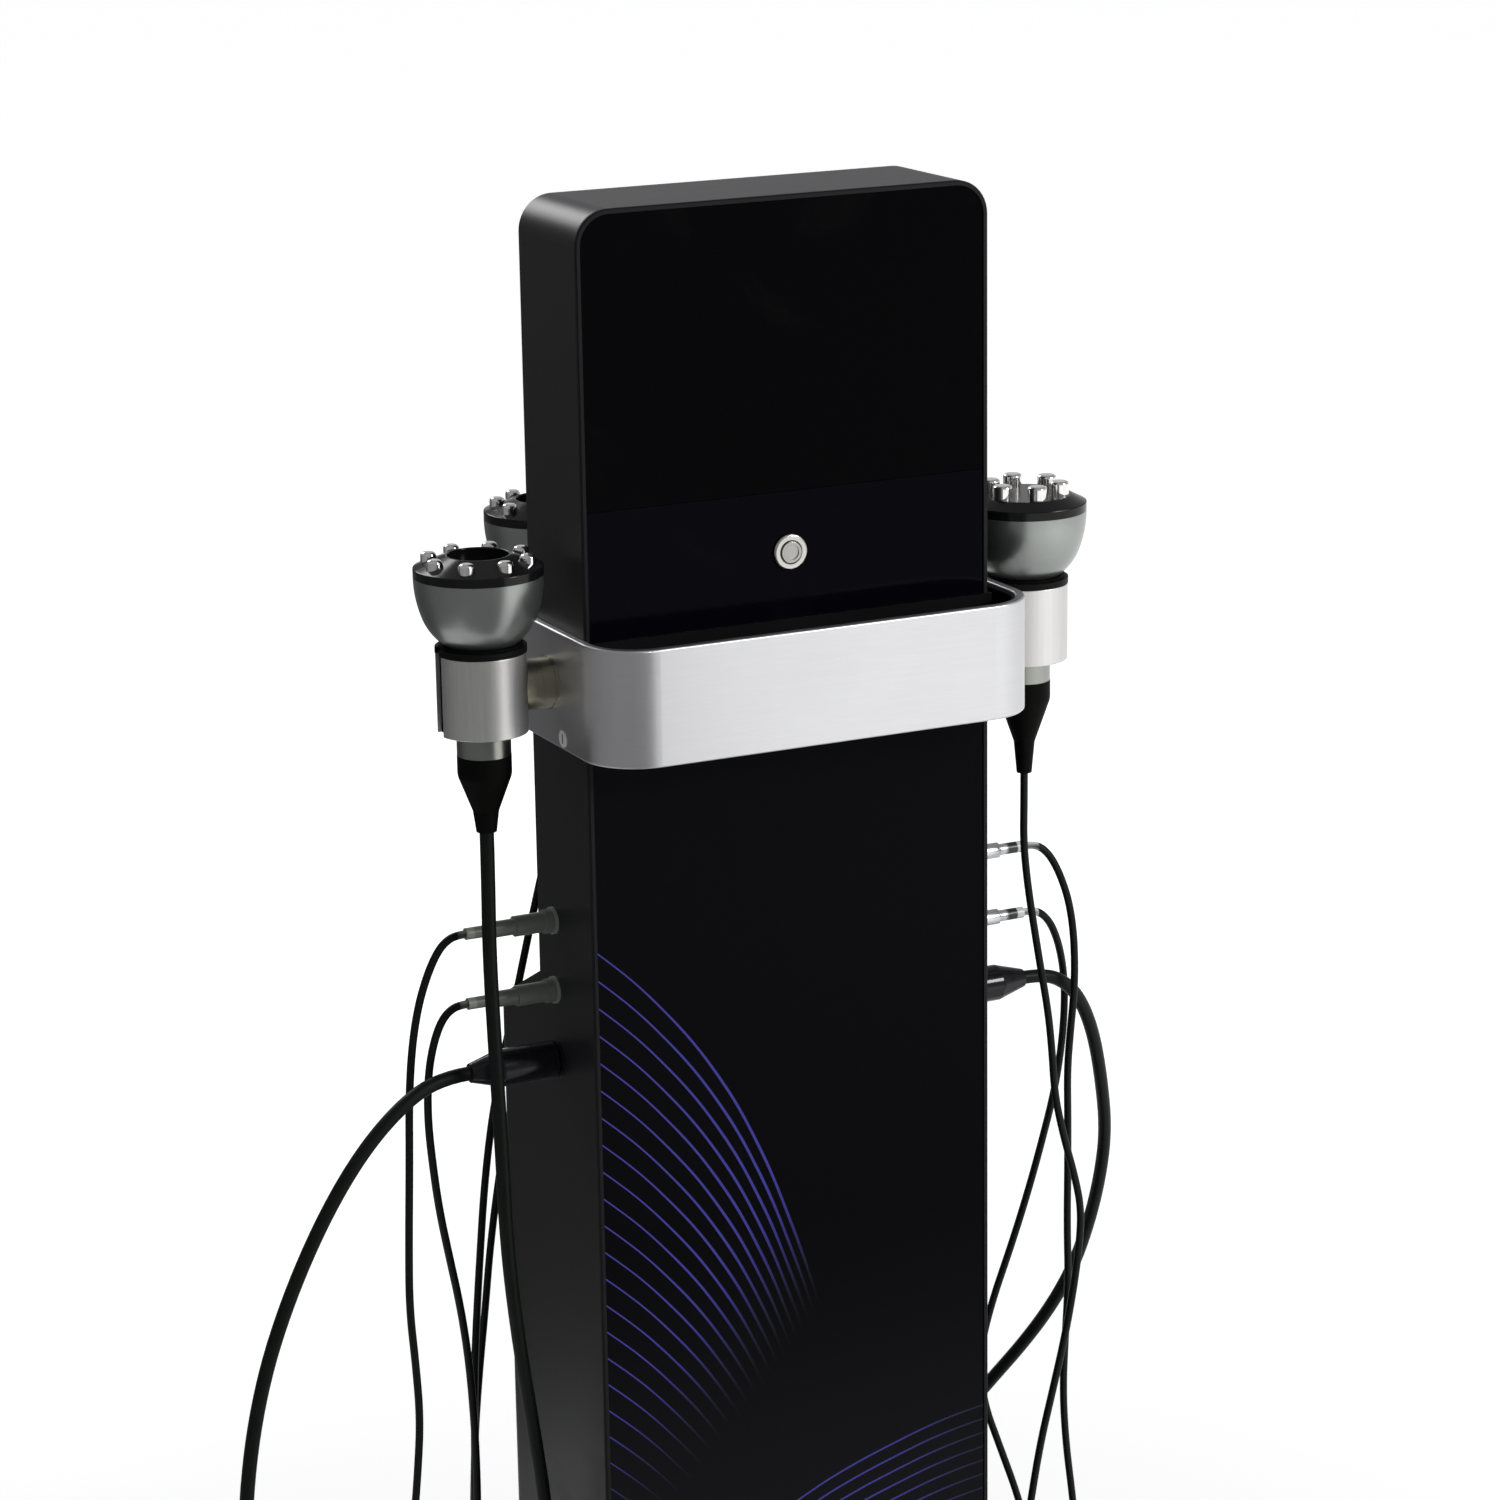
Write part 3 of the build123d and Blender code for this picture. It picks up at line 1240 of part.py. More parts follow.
with BuildPart() as mains_rocker:
    with BuildSketch(Plane.YZ.offset(-rocker_width / 2)):
        with Locations((rocker_y, rocker_z)):
            Circle(rocker_radius)
            Rectangle(rocker_back_reach + rocker_face_reach, 2 * rocker_radius, mode=Mode.INTERSECT)
    extrude(amount=rocker_width)
    with Locations(Location((0, rocker_y, rocker_z), (0, 90, 0))):
        Cylinder(rocker_pin_radius, rocker_width + 2 * rocker_pin_length)
keep(mains_rocker, "mains_rocker")
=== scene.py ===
import bpy
import math
from mathutils import Matrix, Vector


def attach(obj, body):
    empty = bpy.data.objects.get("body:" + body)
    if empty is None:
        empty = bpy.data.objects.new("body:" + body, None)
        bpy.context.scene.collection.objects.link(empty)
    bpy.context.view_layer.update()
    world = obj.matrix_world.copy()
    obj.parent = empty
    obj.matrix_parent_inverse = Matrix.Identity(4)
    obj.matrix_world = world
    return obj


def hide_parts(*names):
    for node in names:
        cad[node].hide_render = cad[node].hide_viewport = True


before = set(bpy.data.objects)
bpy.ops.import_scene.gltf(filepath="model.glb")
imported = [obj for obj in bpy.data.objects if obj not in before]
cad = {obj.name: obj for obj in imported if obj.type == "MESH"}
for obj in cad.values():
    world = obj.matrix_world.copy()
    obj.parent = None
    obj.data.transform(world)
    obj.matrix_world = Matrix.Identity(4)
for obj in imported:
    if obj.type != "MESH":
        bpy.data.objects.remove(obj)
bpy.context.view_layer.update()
scene = bpy.context.scene
bpy.ops.object.select_all(action="DESELECT")


# Camera at the photograph's place
sensor_width_mm = 36.0
lens_mm = 101.79
view_reach = 200.0
camera_data = bpy.data.cameras.new("photo_camera")
camera_data.sensor_width = sensor_width_mm
camera_data.lens = lens_mm
camera_data.clip_end = view_reach
camera = bpy.data.objects.new("photo_camera", camera_data)
scene.collection.objects.link(camera)
camera.matrix_world = Matrix((
    (0.89678, 0.12796, -0.42357, -1.14919),
    (-0.44222, 0.22698, -0.86771, -2.37159),
    (-0.01489, 0.96546, 0.26013, 1.59308),
    (0.0, 0.0, 0.0, 1.0),
))
scene.camera = camera


# Cords: each route runs from its plug down to a loose bend and up to its handpiece or probe
cord_routes = {
    "left_front_cord": [
        (-0.2002, -0.019, 0.703), (-0.222, -0.019, 0.703), (-0.250, -0.023, 0.690),
        (-0.279, -0.026, 0.664), (-0.307, -0.028, 0.625), (-0.333, -0.030, 0.576),
        (-0.352, -0.031, 0.526), (-0.3645, -0.032, 0.468), (-0.370, -0.0325, 0.400),
        (-0.366, -0.031, 0.332), (-0.346, -0.030, 0.270), (-0.307, -0.029, 0.222),
        (-0.257, -0.028, 0.203), (-0.208, -0.0275, 0.220), (-0.174, -0.027, 0.265),
        (-0.159, -0.027, 0.327), (-0.160, -0.028, 0.394), (-0.169, -0.031, 0.458),
        (-0.1805, -0.038, 0.524), (-0.1885, -0.043, 0.590), (-0.1905, -0.0445, 0.655),
        (-0.1925, -0.044, 0.720), (-0.1935, -0.0415, 0.785), (-0.191, -0.0375, 0.838),
        (-0.191, -0.0375, 0.8655),
    ],
    "left_probe_cord": [
        (-0.2002, -0.019, 0.795), (-0.2074, -0.019, 0.795), (-0.2142, -0.0188, 0.7914),
        (-0.2194, -0.0174, 0.7844), (-0.2246, -0.0136, 0.770), (-0.2294, -0.0086, 0.749),
        (-0.233, -0.0044, 0.721), (-0.2352, -0.002, 0.686), (-0.236, -0.001, 0.647),
        (-0.239, -0.002, 0.590), (-0.240, -0.001, 0.545), (-0.2365, 0.0005, 0.505),
        (-0.235, 0.000, 0.468), (-0.2375, 0.001, 0.432), (-0.242, 0.003, 0.385),
        (-0.2435, 0.007, 0.335), (-0.239, 0.015, 0.285), (-0.229, 0.028, 0.240),
        (-0.213, 0.050, 0.207), (-0.194, 0.076, 0.192), (-0.175, 0.100, 0.202),
        (-0.161, 0.116, 0.236), (-0.153, 0.1225, 0.288), (-0.1505, 0.1235, 0.340),
        (-0.1475, 0.1245, 0.388), (-0.142, 0.126, 0.434), (-0.1355, 0.1275, 0.478),
        (-0.1305, 0.1285, 0.518), (-0.124, 0.1275, 0.562), (-0.116, 0.1255, 0.608),
        (-0.104, 0.120, 0.655), (-0.088, 0.112, 0.700), (-0.070, 0.099, 0.742),
        (-0.050, 0.082, 0.778), (-0.0345, 0.066, 0.808), (-0.028, 0.060, 0.839),
        (-0.028, 0.060, 0.868),
    ],
    "left_rear_cord": [
        (-0.2002, -0.019, 0.749), (-0.207, -0.019, 0.749), (-0.2134, -0.0187, 0.7456),
        (-0.218, -0.0174, 0.739), (-0.2216, -0.0146, 0.727), (-0.2238, -0.0104, 0.710),
        (-0.224, -0.0058, 0.690), (-0.2224, -0.001, 0.6675), (-0.2195, 0.003, 0.645),
        (-0.2135, 0.009, 0.606), (-0.205, 0.015, 0.568), (-0.1965, 0.021, 0.532),
        (-0.190, 0.026, 0.494), (-0.186, 0.030, 0.455), (-0.184, 0.0325, 0.415),
        (-0.183, 0.036, 0.372), (-0.182, 0.041, 0.330), (-0.1809, 0.0438, 0.300),
        (-0.178, 0.0513, 0.281), (-0.1733, 0.0634, 0.270), (-0.1678, 0.0773, 0.271),
        (-0.1634, 0.0885, 0.283), (-0.161, 0.0946, 0.303), (-0.1605, 0.097, 0.335),
        (-0.1595, 0.097, 0.373), (-0.158, 0.0985, 0.410), (-0.156, 0.100, 0.448),
        (-0.1525, 0.101, 0.488), (-0.148, 0.1025, 0.530), (-0.1435, 0.1035, 0.572),
        (-0.1365, 0.105, 0.616), (-0.1275, 0.1055, 0.656), (-0.1175, 0.105, 0.696),
        (-0.1085, 0.104, 0.734), (-0.100, 0.1025, 0.770), (-0.092, 0.100, 0.804),
        (-0.0875, 0.0976, 0.832), (-0.0875, 0.0976, 0.852),
    ],
    "right_front_cord": [
        (0.2002, -0.019, 0.795), (0.2086, -0.019, 0.795), (0.2164, -0.0198, 0.791),
        (0.2222, -0.0218, 0.783), (0.2274, -0.0248, 0.770), (0.2318, -0.0278, 0.7525),
        (0.2344, -0.0298, 0.728), (0.2346, -0.0304, 0.695), (0.2315, -0.030, 0.663),
        (0.2305, -0.028, 0.635), (0.2335, -0.024, 0.600), (0.236, -0.020, 0.560),
        (0.238, -0.016, 0.518), (0.241, -0.013, 0.475), (0.240, -0.011, 0.434),
        (0.239, -0.0095, 0.394), (0.2425, -0.008, 0.352), (0.249, -0.007, 0.308),
        (0.2535, -0.0065, 0.266), (0.252, -0.0072, 0.236), (0.246, -0.0095, 0.214),
        (0.2345, -0.0135, 0.200), (0.2195, -0.0185, 0.199), (0.2065, -0.023, 0.210),
        (0.199, -0.0255, 0.230), (0.1965, -0.0275, 0.258), (0.1975, -0.0285, 0.292),
        (0.2025, -0.030, 0.330), (0.2085, -0.032, 0.370), (0.2155, -0.036, 0.408),
        (0.222, -0.040, 0.445), (0.227, -0.043, 0.480), (0.230, -0.046, 0.514),
        (0.230, -0.0485, 0.542), (0.224, -0.0495, 0.568), (0.2155, -0.049, 0.597),
        (0.209, -0.048, 0.628), (0.2075, -0.047, 0.658), (0.205, -0.046, 0.686),
        (0.200, -0.045, 0.7155), (0.196, -0.043, 0.744), (0.192, -0.041, 0.774),
        (0.190, -0.0385, 0.804), (0.191, -0.0375, 0.831), (0.191, -0.0375, 0.852),
    ],
    "right_probe_cord": [
        (0.2002, -0.019, 0.749), (0.209, -0.019, 0.749), (0.2174, -0.018, 0.7446),
        (0.2264, -0.015, 0.7336), (0.2356, -0.0096, 0.714), (0.2428, -0.003, 0.689),
        (0.2466, 0.004, 0.661), (0.2485, 0.012, 0.631), (0.249, 0.0215, 0.600),
        (0.247, 0.033, 0.564), (0.2415, 0.0435, 0.522), (0.232, 0.052, 0.478),
        (0.2195, 0.057, 0.437), (0.210, 0.0575, 0.400), (0.2115, 0.054, 0.365),
        (0.2205, 0.0475, 0.333), (0.231, 0.039, 0.295), (0.239, 0.033, 0.255),
        (0.240, 0.035, 0.215), (0.2295, 0.048, 0.183), (0.2075, 0.068, 0.166),
        (0.180, 0.087, 0.161), (0.151, 0.102, 0.170), (0.123, 0.1105, 0.191),
        (0.0985, 0.114, 0.227), (0.0805, 0.115, 0.273), (0.0685, 0.114, 0.325),
        (0.061, 0.113, 0.383), (0.056, 0.111, 0.443), (0.0525, 0.110, 0.503),
        (0.0475, 0.1085, 0.563), (0.0425, 0.106, 0.622), (0.037, 0.104, 0.680),
        (0.033, 0.098, 0.733), (0.030, 0.086, 0.778), (0.027, 0.068, 0.812),
        (0.028, 0.060, 0.842), (0.028, 0.060, 0.868),
    ],
    "right_rear_cord": [
        (0.2002, -0.019, 0.703), (0.2145, -0.019, 0.703), (0.231, -0.0182, 0.697),
        (0.2465, -0.0154, 0.682), (0.2615, -0.0086, 0.654), (0.275, 0.0025, 0.616),
        (0.2895, 0.019, 0.568), (0.293, 0.032, 0.528), (0.293, 0.0465, 0.489),
        (0.289, 0.0615, 0.450), (0.2795, 0.0765, 0.416), (0.265, 0.091, 0.385),
        (0.246, 0.107, 0.353), (0.223, 0.121, 0.319), (0.199, 0.130, 0.290),
        (0.170, 0.1365, 0.270), (0.137, 0.1395, 0.264), (0.106, 0.139, 0.277),
        (0.0865, 0.1355, 0.306), (0.080, 0.132, 0.350), (0.0795, 0.128, 0.402),
        (0.081, 0.124, 0.460), (0.084, 0.1205, 0.522), (0.088, 0.1165, 0.585),
        (0.0905, 0.115, 0.645), (0.0905, 0.113, 0.703), (0.0895, 0.109, 0.755),
        (0.0885, 0.1015, 0.799), (0.0875, 0.0976, 0.836), (0.0875, 0.0976, 0.8655),
    ],
}
thick_cords = ("left_front_cord", "right_rear_cord")
thick_cord_diameter = 0.0092
thin_cord_diameter = 0.0052
cord_side_steps = 4
cord_route_steps = 6


def lay_cord(node, route):
    thick = node in thick_cords
    diameter = thick_cord_diameter if thick else thin_cord_diameter
    line = bpy.data.curves.new(node + "_jacket", "CURVE")
    line.dimensions = "3D"
    line.bevel_depth = 1.0
    line.bevel_resolution = cord_side_steps
    line.resolution_u = cord_route_steps
    line.use_fill_caps = True
    spline = line.splines.new("NURBS")
    spline.points.add(len(route) - 1)
    for point, place in zip(spline.points, route):
        point.co = (*place, 1.0)
        point.radius = diameter / 2
    spline.order_u = 3
    spline.use_endpoint_u = True
    cord = bpy.data.objects.new(node + "_jacket", line)
    scene.collection.objects.link(cord)
    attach(cord, "cabinet")
    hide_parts(node)
    return cord


cords = [lay_cord(node, route) for node, route in cord_routes.items()]


# Small cross-headed screws on the cabinet's back, one head modelled and then copied
head_sides = 32
head_round_share = 0.45
head_round_steps = 4
cross_length_share = 1.1
cross_width_share = 0.16
facing_out = 0.9
smooth_angle = math.radians(35.0)


def screw_head(radius, thickness):
    bpy.ops.mesh.primitive_cylinder_add(vertices=head_sides, radius=radius, depth=thickness,
                                        location=(0.0, thickness / 2, 0.0),
                                        rotation=(math.pi / 2, 0.0, 0.0))
    head = bpy.context.object
    bpy.ops.object.transform_apply(location=True, rotation=True, scale=True)
    bpy.ops.object.mode_set(mode="EDIT")
    bpy.ops.mesh.select_all(action="DESELECT")
    bpy.ops.object.mode_set(mode="OBJECT")
    for face in head.data.polygons:
        face.select = face.normal.y > facing_out
    bpy.ops.object.mode_set(mode="EDIT")
    bpy.ops.mesh.bevel(offset=thickness * head_round_share, segments=head_round_steps,
                       affect="EDGES")
    bpy.ops.object.mode_set(mode="OBJECT")
    for wide, tall in ((cross_length_share, cross_width_share),
                       (cross_width_share, cross_length_share)):
        bpy.ops.mesh.primitive_cube_add(size=1.0, location=(0.0, thickness, 0.0),
                                        scale=(radius * wide, thickness, radius * tall))
        slot = bpy.context.object
        cut = head.modifiers.new("cross", "BOOLEAN")
        cut.operation = "DIFFERENCE"
        cut.object = slot
        bpy.ops.object.select_all(action="DESELECT")
        bpy.context.view_layer.objects.active = head
        head.select_set(True)
        bpy.ops.object.modifier_apply(modifier=cut.name)
        bpy.data.objects.remove(slot)
    bpy.ops.object.select_all(action="DESELECT")
    return head


def set_screws(name, radius, thickness, places):
    head = screw_head(radius, thickness)
    copies = []
    for place in places:
        copy = bpy.data.objects.new(name, head.data.copy())
        copy.data.transform(Matrix.Translation(place))
        scene.collection.objects.link(copy)
        copies.append(copy)
    bpy.data.objects.remove(head)
    for copy in copies:
        copy.select_set(True)
    bpy.context.view_layer.objects.active = copies[0]
    bpy.ops.object.join()
    screws = copies[0]
    screws.name = name
    bpy.ops.object.shade_smooth_by_angle(angle=smooth_angle)
    bpy.ops.object.select_all(action="DESELECT")
    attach(screws, "cabinet")
    return screws


cabinet_back = 0.080
cover_screw_side = 0.118
cover_screw_heights = (0.170, 0.430, 0.690)
fan_height = 0.600
fan_screw_offset = 0.0357
inlet_back = 0.0825
inlet_screw_side = 0.0195
inlet_screw_height = 0.3475
both = (-1, 1)

cover_places = [(side * cover_screw_side, cabinet_back, height)
                for side in both for height in cover_screw_heights]
fan_places = [(side * fan_screw_offset, cabinet_back, fan_height + rise * fan_screw_offset)
              for side in both for rise in both]
inlet_places = [(side * inlet_screw_side, inlet_back, inlet_screw_height) for side in both]
back_screws = [
    set_screws("cover_screws", radius=0.0034, thickness=0.0018, places=cover_places),
    set_screws("fan_screws", radius=0.0027, thickness=0.0014, places=fan_places),
    set_screws("inlet_screws", radius=0.0022, thickness=0.0012, places=inlet_places),
]


# Helpers for finishes
def maths(tree, operation, first, second=None):
    made = tree.nodes.new("ShaderNodeMath")
    made.operation = operation
    for socket, value in zip(made.inputs, (first, second)):
        if value is None:
            continue
        if isinstance(value, (int, float)):
            socket.default_value = value
        else:
            tree.links.new(value, socket)
    return made.outputs[0]


def product(tree, first, *others):
    for other in others:
        first = maths(tree, "MULTIPLY", first, other)
    return first


def ramp_between(tree, value, low, high, to_low=0.0, to_high=1.0):
    made = tree.nodes.new("ShaderNodeMapRange")
    made.interpolation_type = "SMOOTHSTEP"
    made.inputs["From Min"].default_value = low
    made.inputs["From Max"].default_value = high
    made.inputs["To Min"].default_value = to_low
    made.inputs["To Max"].default_value = to_high
    tree.links.new(value, made.inputs["Value"])
    return made.outputs["Result"]


def beyond(tree, value, start, soft):
    return ramp_between(tree, value, start, start + soft)


def within(tree, value, start, soft):
    return ramp_between(tree, value, start, start + soft, 1.0, 0.0)


def blend_colours(tree, mask, under, over):
    made = tree.nodes.new("ShaderNodeMix")
    made.data_type = "RGBA"
    tree.links.new(mask, made.inputs["Factor"])
    for socket, value in zip((made.inputs[6], made.inputs[7]), (under, over)):
        if isinstance(value, tuple):
            socket.default_value = (*value, 1.0)
        else:
            tree.links.new(value, socket)
    return made.outputs[2]


def blend_values(tree, mask, under, over):
    made = tree.nodes.new("ShaderNodeMix")
    made.data_type = "FLOAT"
    tree.links.new(mask, made.inputs["Factor"])
    for socket, value in zip((made.inputs[2], made.inputs[3]), (under, over)):
        if isinstance(value, (int, float)):
            socket.default_value = value
        else:
            tree.links.new(value, socket)
    return made.outputs[0]


def mapped(tree, vector, scale=(1.0, 1.0, 1.0), centre=(0.0, 0.0, 0.0)):
    made = tree.nodes.new("ShaderNodeMapping")
    made.inputs["Scale"].default_value = scale
    made.inputs["Location"].default_value = [-c * s for c, s in zip(centre, scale)]
    tree.links.new(vector, made.inputs["Vector"])
    return made.outputs["Vector"]


def axes(tree, vector):
    made = tree.nodes.new("ShaderNodeSeparateXYZ")
    tree.links.new(vector, made.inputs["Vector"])
    return made.outputs["X"], made.outputs["Y"], made.outputs["Z"]


def reach_from(tree, first, second):
    squares = maths(tree, "ADD", product(tree, first, first), product(tree, second, second))
    return maths(tree, "SQRT", squares)


def relief(tree, shader, height, depth, strength=1.0):
    made = tree.nodes.new("ShaderNodeBump")
    made.inputs["Strength"].default_value = strength
    made.inputs["Distance"].default_value = depth
    tree.links.new(height, made.inputs["Height"])
    tree.links.new(made.outputs["Normal"], shader.inputs["Normal"])


def new_finish(name, gloss=0.5, metal=0.0):
    material = bpy.data.materials.new(name)
    material.use_nodes = True
    tree = material.node_tree
    shader = tree.nodes["Principled BSDF"]
    shader.inputs["Metallic"].default_value = metal
    shader.inputs["Specular IOR Level"].default_value = gloss
    place = tree.nodes.new("ShaderNodeTexCoord").outputs["Object"]
    return material, tree, shader, place


def paint(tree, shader, colour, rough):
    tree.links.new(colour, shader.inputs["Base Color"])
    tree.links.new(rough, shader.inputs["Roughness"])


def finish(material, *names):
    for name in names:
        cad[name].material_slots[0].material = material


# Shared effects, each a node group with its own inputs
def new_effect(name, inputs, outputs):
    tree = bpy.data.node_groups.new(name, "ShaderNodeTree")
    tree.interface.new_socket("Vector", in_out="INPUT", socket_type="NodeSocketVector")
    for label, value in inputs.items():
        socket = tree.interface.new_socket(label, in_out="INPUT", socket_type="NodeSocketFloat")
        socket.default_value = value
    for label in outputs:
        tree.interface.new_socket(label, in_out="OUTPUT", socket_type="NodeSocketFloat")
    start = tree.nodes.new("NodeGroupInput")
    end = tree.nodes.new("NodeGroupOutput")
    return tree, start.outputs, end.inputs


def use_effect(tree, effect, vector, **values):
    made = tree.nodes.new("ShaderNodeGroup")
    made.node_tree = effect
    tree.links.new(vector, made.inputs["Vector"])
    for label, value in values.items():
        made.inputs[label.replace("_", " ")].default_value = value
    return made.outputs


def noise(tree, vector, scale, detail, **values):
    made = tree.nodes.new("ShaderNodeTexNoise")
    made.inputs["Detail"].default_value = detail
    for label, value in values.items():
        made.inputs[label].default_value = value
    tree.links.new(vector, made.inputs["Vector"])
    tree.links.new(scale, made.inputs["Scale"])
    return made.outputs["Fac"]


# Pebbled coat: fine bumps, with slow changes of shade over the surface
pebble_coat, given, put = new_effect(
    "pebble_coat", {"Pebble Scale": 1400.0, "Cloud Scale": 9.0}, ["Pebbles", "Clouds"])
pebbles = noise(pebble_coat, given["Vector"], given["Pebble Scale"], detail=2.0)
clouds = noise(pebble_coat, given["Vector"], given["Cloud Scale"], detail=5.0)
pebble_coat.links.new(pebbles, put["Pebbles"])
pebble_coat.links.new(clouds, put["Clouds"])

# Brushing: fine lines along whichever way the vector is stretched, with a few deeper scratches
scratch_scale_share = 0.31
scratch_edge = (0.66, 0.74)
brushing, given, put = new_effect("brushing", {"Line Scale": 400.0}, ["Lines", "Scratches"])
lines = noise(brushing, given["Vector"], given["Line Scale"], detail=6.0, Roughness=0.7)
scratch_scale = product(brushing, given["Line Scale"], scratch_scale_share)
coarse = noise(brushing, given["Vector"], scratch_scale, detail=1.0)
brushing.links.new(lines, put["Lines"])
brushing.links.new(ramp_between(brushing, coarse, *scratch_edge), put["Scratches"])

# Handling marks: soft smears left by hands and wiping cloths
smear_edge = (0.52, 0.78)
handling, given, put = new_effect("handling_marks", {"Smear Scale": 11.0}, ["Smears"])
smear = noise(handling, given["Vector"], given["Smear Scale"],
              detail=8.0, Roughness=0.62, Distortion=1.3)
handling.links.new(ramp_between(handling, smear, *smear_edge), put["Smears"])

# Settled dust: thin and patchy, only where the surface faces up
facing_up = (0.7, 1.0)
patch_edge = (0.42, 0.75)
settling, given, put = new_effect("settled_dust", {"Speck Scale": 260.0}, ["Dust"])
specks = noise(settling, given["Vector"], given["Speck Scale"], detail=4.0)
upward = axes(settling, settling.nodes.new("ShaderNodeNewGeometry").outputs["Normal"])[2]
on_top = ramp_between(settling, upward, *facing_up)
patches = ramp_between(settling, specks, *patch_edge)
settling.links.new(product(settling, on_top, patches), put["Dust"])


# Printed sweep of thin lines: each line copies the first one, a pitch lower
panel_half_width = 0.14
print_width = 0.0012
print_edge = (0.75, 1.25)
first_line_edge = (-0.6, -0.4)


def ramp_across(tree, x):
    made = tree.nodes.new("ShaderNodeMapRange")
    made.inputs["From Min"].default_value = -panel_half_width
    made.inputs["From Max"].default_value = panel_half_width
    tree.links.new(x, made.inputs["Value"])
    return made.outputs["Result"]


def sweep_effect(name, first_line, low, high, pitch, slants):
    tree, given, put = new_effect(name, {}, ["Lines"])
    x, y, z = axes(tree, given["Vector"])
    across = ramp_across(tree, x)
    curve = tree.nodes.new("ShaderNodeFloatCurve")
    shape = curve.mapping.curves[0]
    shape.points[0].location = first_line[0]
    shape.points[-1].location = first_line[-1]
    for place in first_line[1:-1]:
        shape.points.new(*place)
    curve.mapping.update()
    tree.links.new(across, curve.inputs["Value"])
    top = maths(tree, "ADD", product(tree, curve.outputs[0], high - low), low)
    steps = maths(tree, "DIVIDE", maths(tree, "SUBTRACT", top, z), pitch)
    nearest = maths(tree, "ROUND", steps)
    off = maths(tree, "ABSOLUTE", maths(tree, "SUBTRACT", steps, nearest))
    slant = ramp_between(tree, across, 0.0, 1.0, *slants)
    half_line = product(tree, slant, print_width / 2)
    ratio = maths(tree, "DIVIDE", product(tree, off, pitch), half_line)
    line = ramp_between(tree, ratio, *print_edge, 1.0, 0.0)
    below_first = ramp_between(tree, nearest, *first_line_edge)
    return tree, put, x, z, product(tree, line, below_first)


left_fade_slope = 1.1
left_fade_down = (0.500, 0.655)
left_fade_right = (0.005, 0.030)
left_sweep, put, x, z, mask = sweep_effect(
    "left_sweep",
    [(0.0, 0.975), (0.16, 0.866), (0.305, 0.732), (0.404, 0.602), (0.4775, 0.473),
     (0.54, 0.343), (0.578, 0.25), (0.66, 0.02), (1.0, 0.0)],
    low=0.400, high=0.802, pitch=0.018, slants=(1.0, 8.2))
slope = maths(left_sweep, "SUBTRACT", z, product(left_sweep, x, left_fade_slope))
fade_down = ramp_between(left_sweep, slope, *left_fade_down)
fade_right = ramp_between(left_sweep, x, *left_fade_right, 1.0, 0.0)
left_sweep.links.new(product(left_sweep, mask, fade_down, fade_right), put["Lines"])

right_fade_right = (0.050, 0.150)
right_fade_left_over = 0.25
right_fade_down = (0.200, 0.330)
right_sweep, put, x, z, mask = sweep_effect(
    "right_sweep",
    [(0.0, 0.05), (0.12, 0.23), (0.28, 0.47), (0.494, 0.694), (0.6, 0.787), (0.76, 0.89),
     (0.88, 0.95), (1.0, 0.985)],
    low=0.300, high=0.4325, pitch=0.010, slants=(1.25, 1.0))
fade_right = ramp_between(right_sweep, x, *right_fade_right, 1.0, right_fade_left_over)
fade_down = ramp_between(right_sweep, z, *right_fade_down)
right_sweep.links.new(product(right_sweep, mask, fade_right, fade_down), put["Lines"])


# Families of finishes
def dusted(tree, place, colour, share, tone, **values):
    dust = use_effect(tree, settling, place, **values)
    return blend_colours(tree, product(tree, dust["Dust"], share), colour, tone)


def coated(name, nodes, tones, roughness, pebble_scale, cloud_scale, depth, strength,
           gloss=0.5, metal=0.0, smear_scale=None, dust=None):
    material, tree, shader, place = new_finish(name, gloss, metal)
    coat = use_effect(tree, pebble_coat, place, Pebble_Scale=pebble_scale, Cloud_Scale=cloud_scale)
    colour = blend_colours(tree, coat["Clouds"], *tones)
    if dust:
        colour = dusted(tree, place, colour, **dust)
    wear = coat["Clouds"]
    if smear_scale:
        wear = use_effect(tree, handling, place, Smear_Scale=smear_scale)["Smears"]
    paint(tree, shader, colour, blend_values(tree, wear, *roughness))
    relief(tree, shader, coat["Pebbles"], depth, strength)
    finish(material, *nodes)


def wiped(name, nodes, tones, roughness, smear_scale, gloss=0.5, metal=0.0):
    material, tree, shader, place = new_finish(name, gloss, metal)
    smears = use_effect(tree, handling, place, Smear_Scale=smear_scale)["Smears"]
    paint(tree, shader, blend_colours(tree, smears, *tones), blend_values(tree, smears, *roughness))
    finish(material, *nodes)


def brushed(name, nodes, tones, roughness, line_scale, along):
    material, tree, shader, place = new_finish(name, metal=1.0)
    grain = use_effect(tree, brushing, mapped(tree, place, along), Line_Scale=line_scale)["Lines"]
    paint(tree, shader, blend_colours(tree, grain, *tones), blend_values(tree, grain, *roughness))
    finish(material, *nodes)


corners = ("left_front", "right_front", "left_rear", "right_rear")
pale_dust = (0.3, 0.29, 0.28)

# Satin black paint on the shell, the cabinet and the plinth, with painted shade on the column's
# front rim: darker and rougher there
column_front = -0.0790
rim_soft = 0.0025
rim_bottom = 0.1402
rim_bottom_soft = 0.0004
rim_rough = 0.75
shell_paint, tree, shader, place = new_finish("shell_paint", gloss=0.27)
coat = use_effect(tree, pebble_coat, place, Pebble_Scale=900.0, Cloud_Scale=6.0)
marks = use_effect(tree, handling, place, Smear_Scale=5.0)
colour = blend_colours(tree, coat["Clouds"], (0.006, 0.006, 0.0075), (0.010, 0.010, 0.012))
colour = dusted(tree, place, colour, share=0.05, tone=pale_dust)
x, y, z = axes(tree, place)
# Painted shade: the column's front rim is painted near black to damp its edge highlight
rim_painted_shade = product(tree, within(tree, y, column_front, rim_soft),
              beyond(tree, z, rim_bottom, rim_bottom_soft))
rough = blend_values(tree, marks["Smears"], 0.38, 0.46)
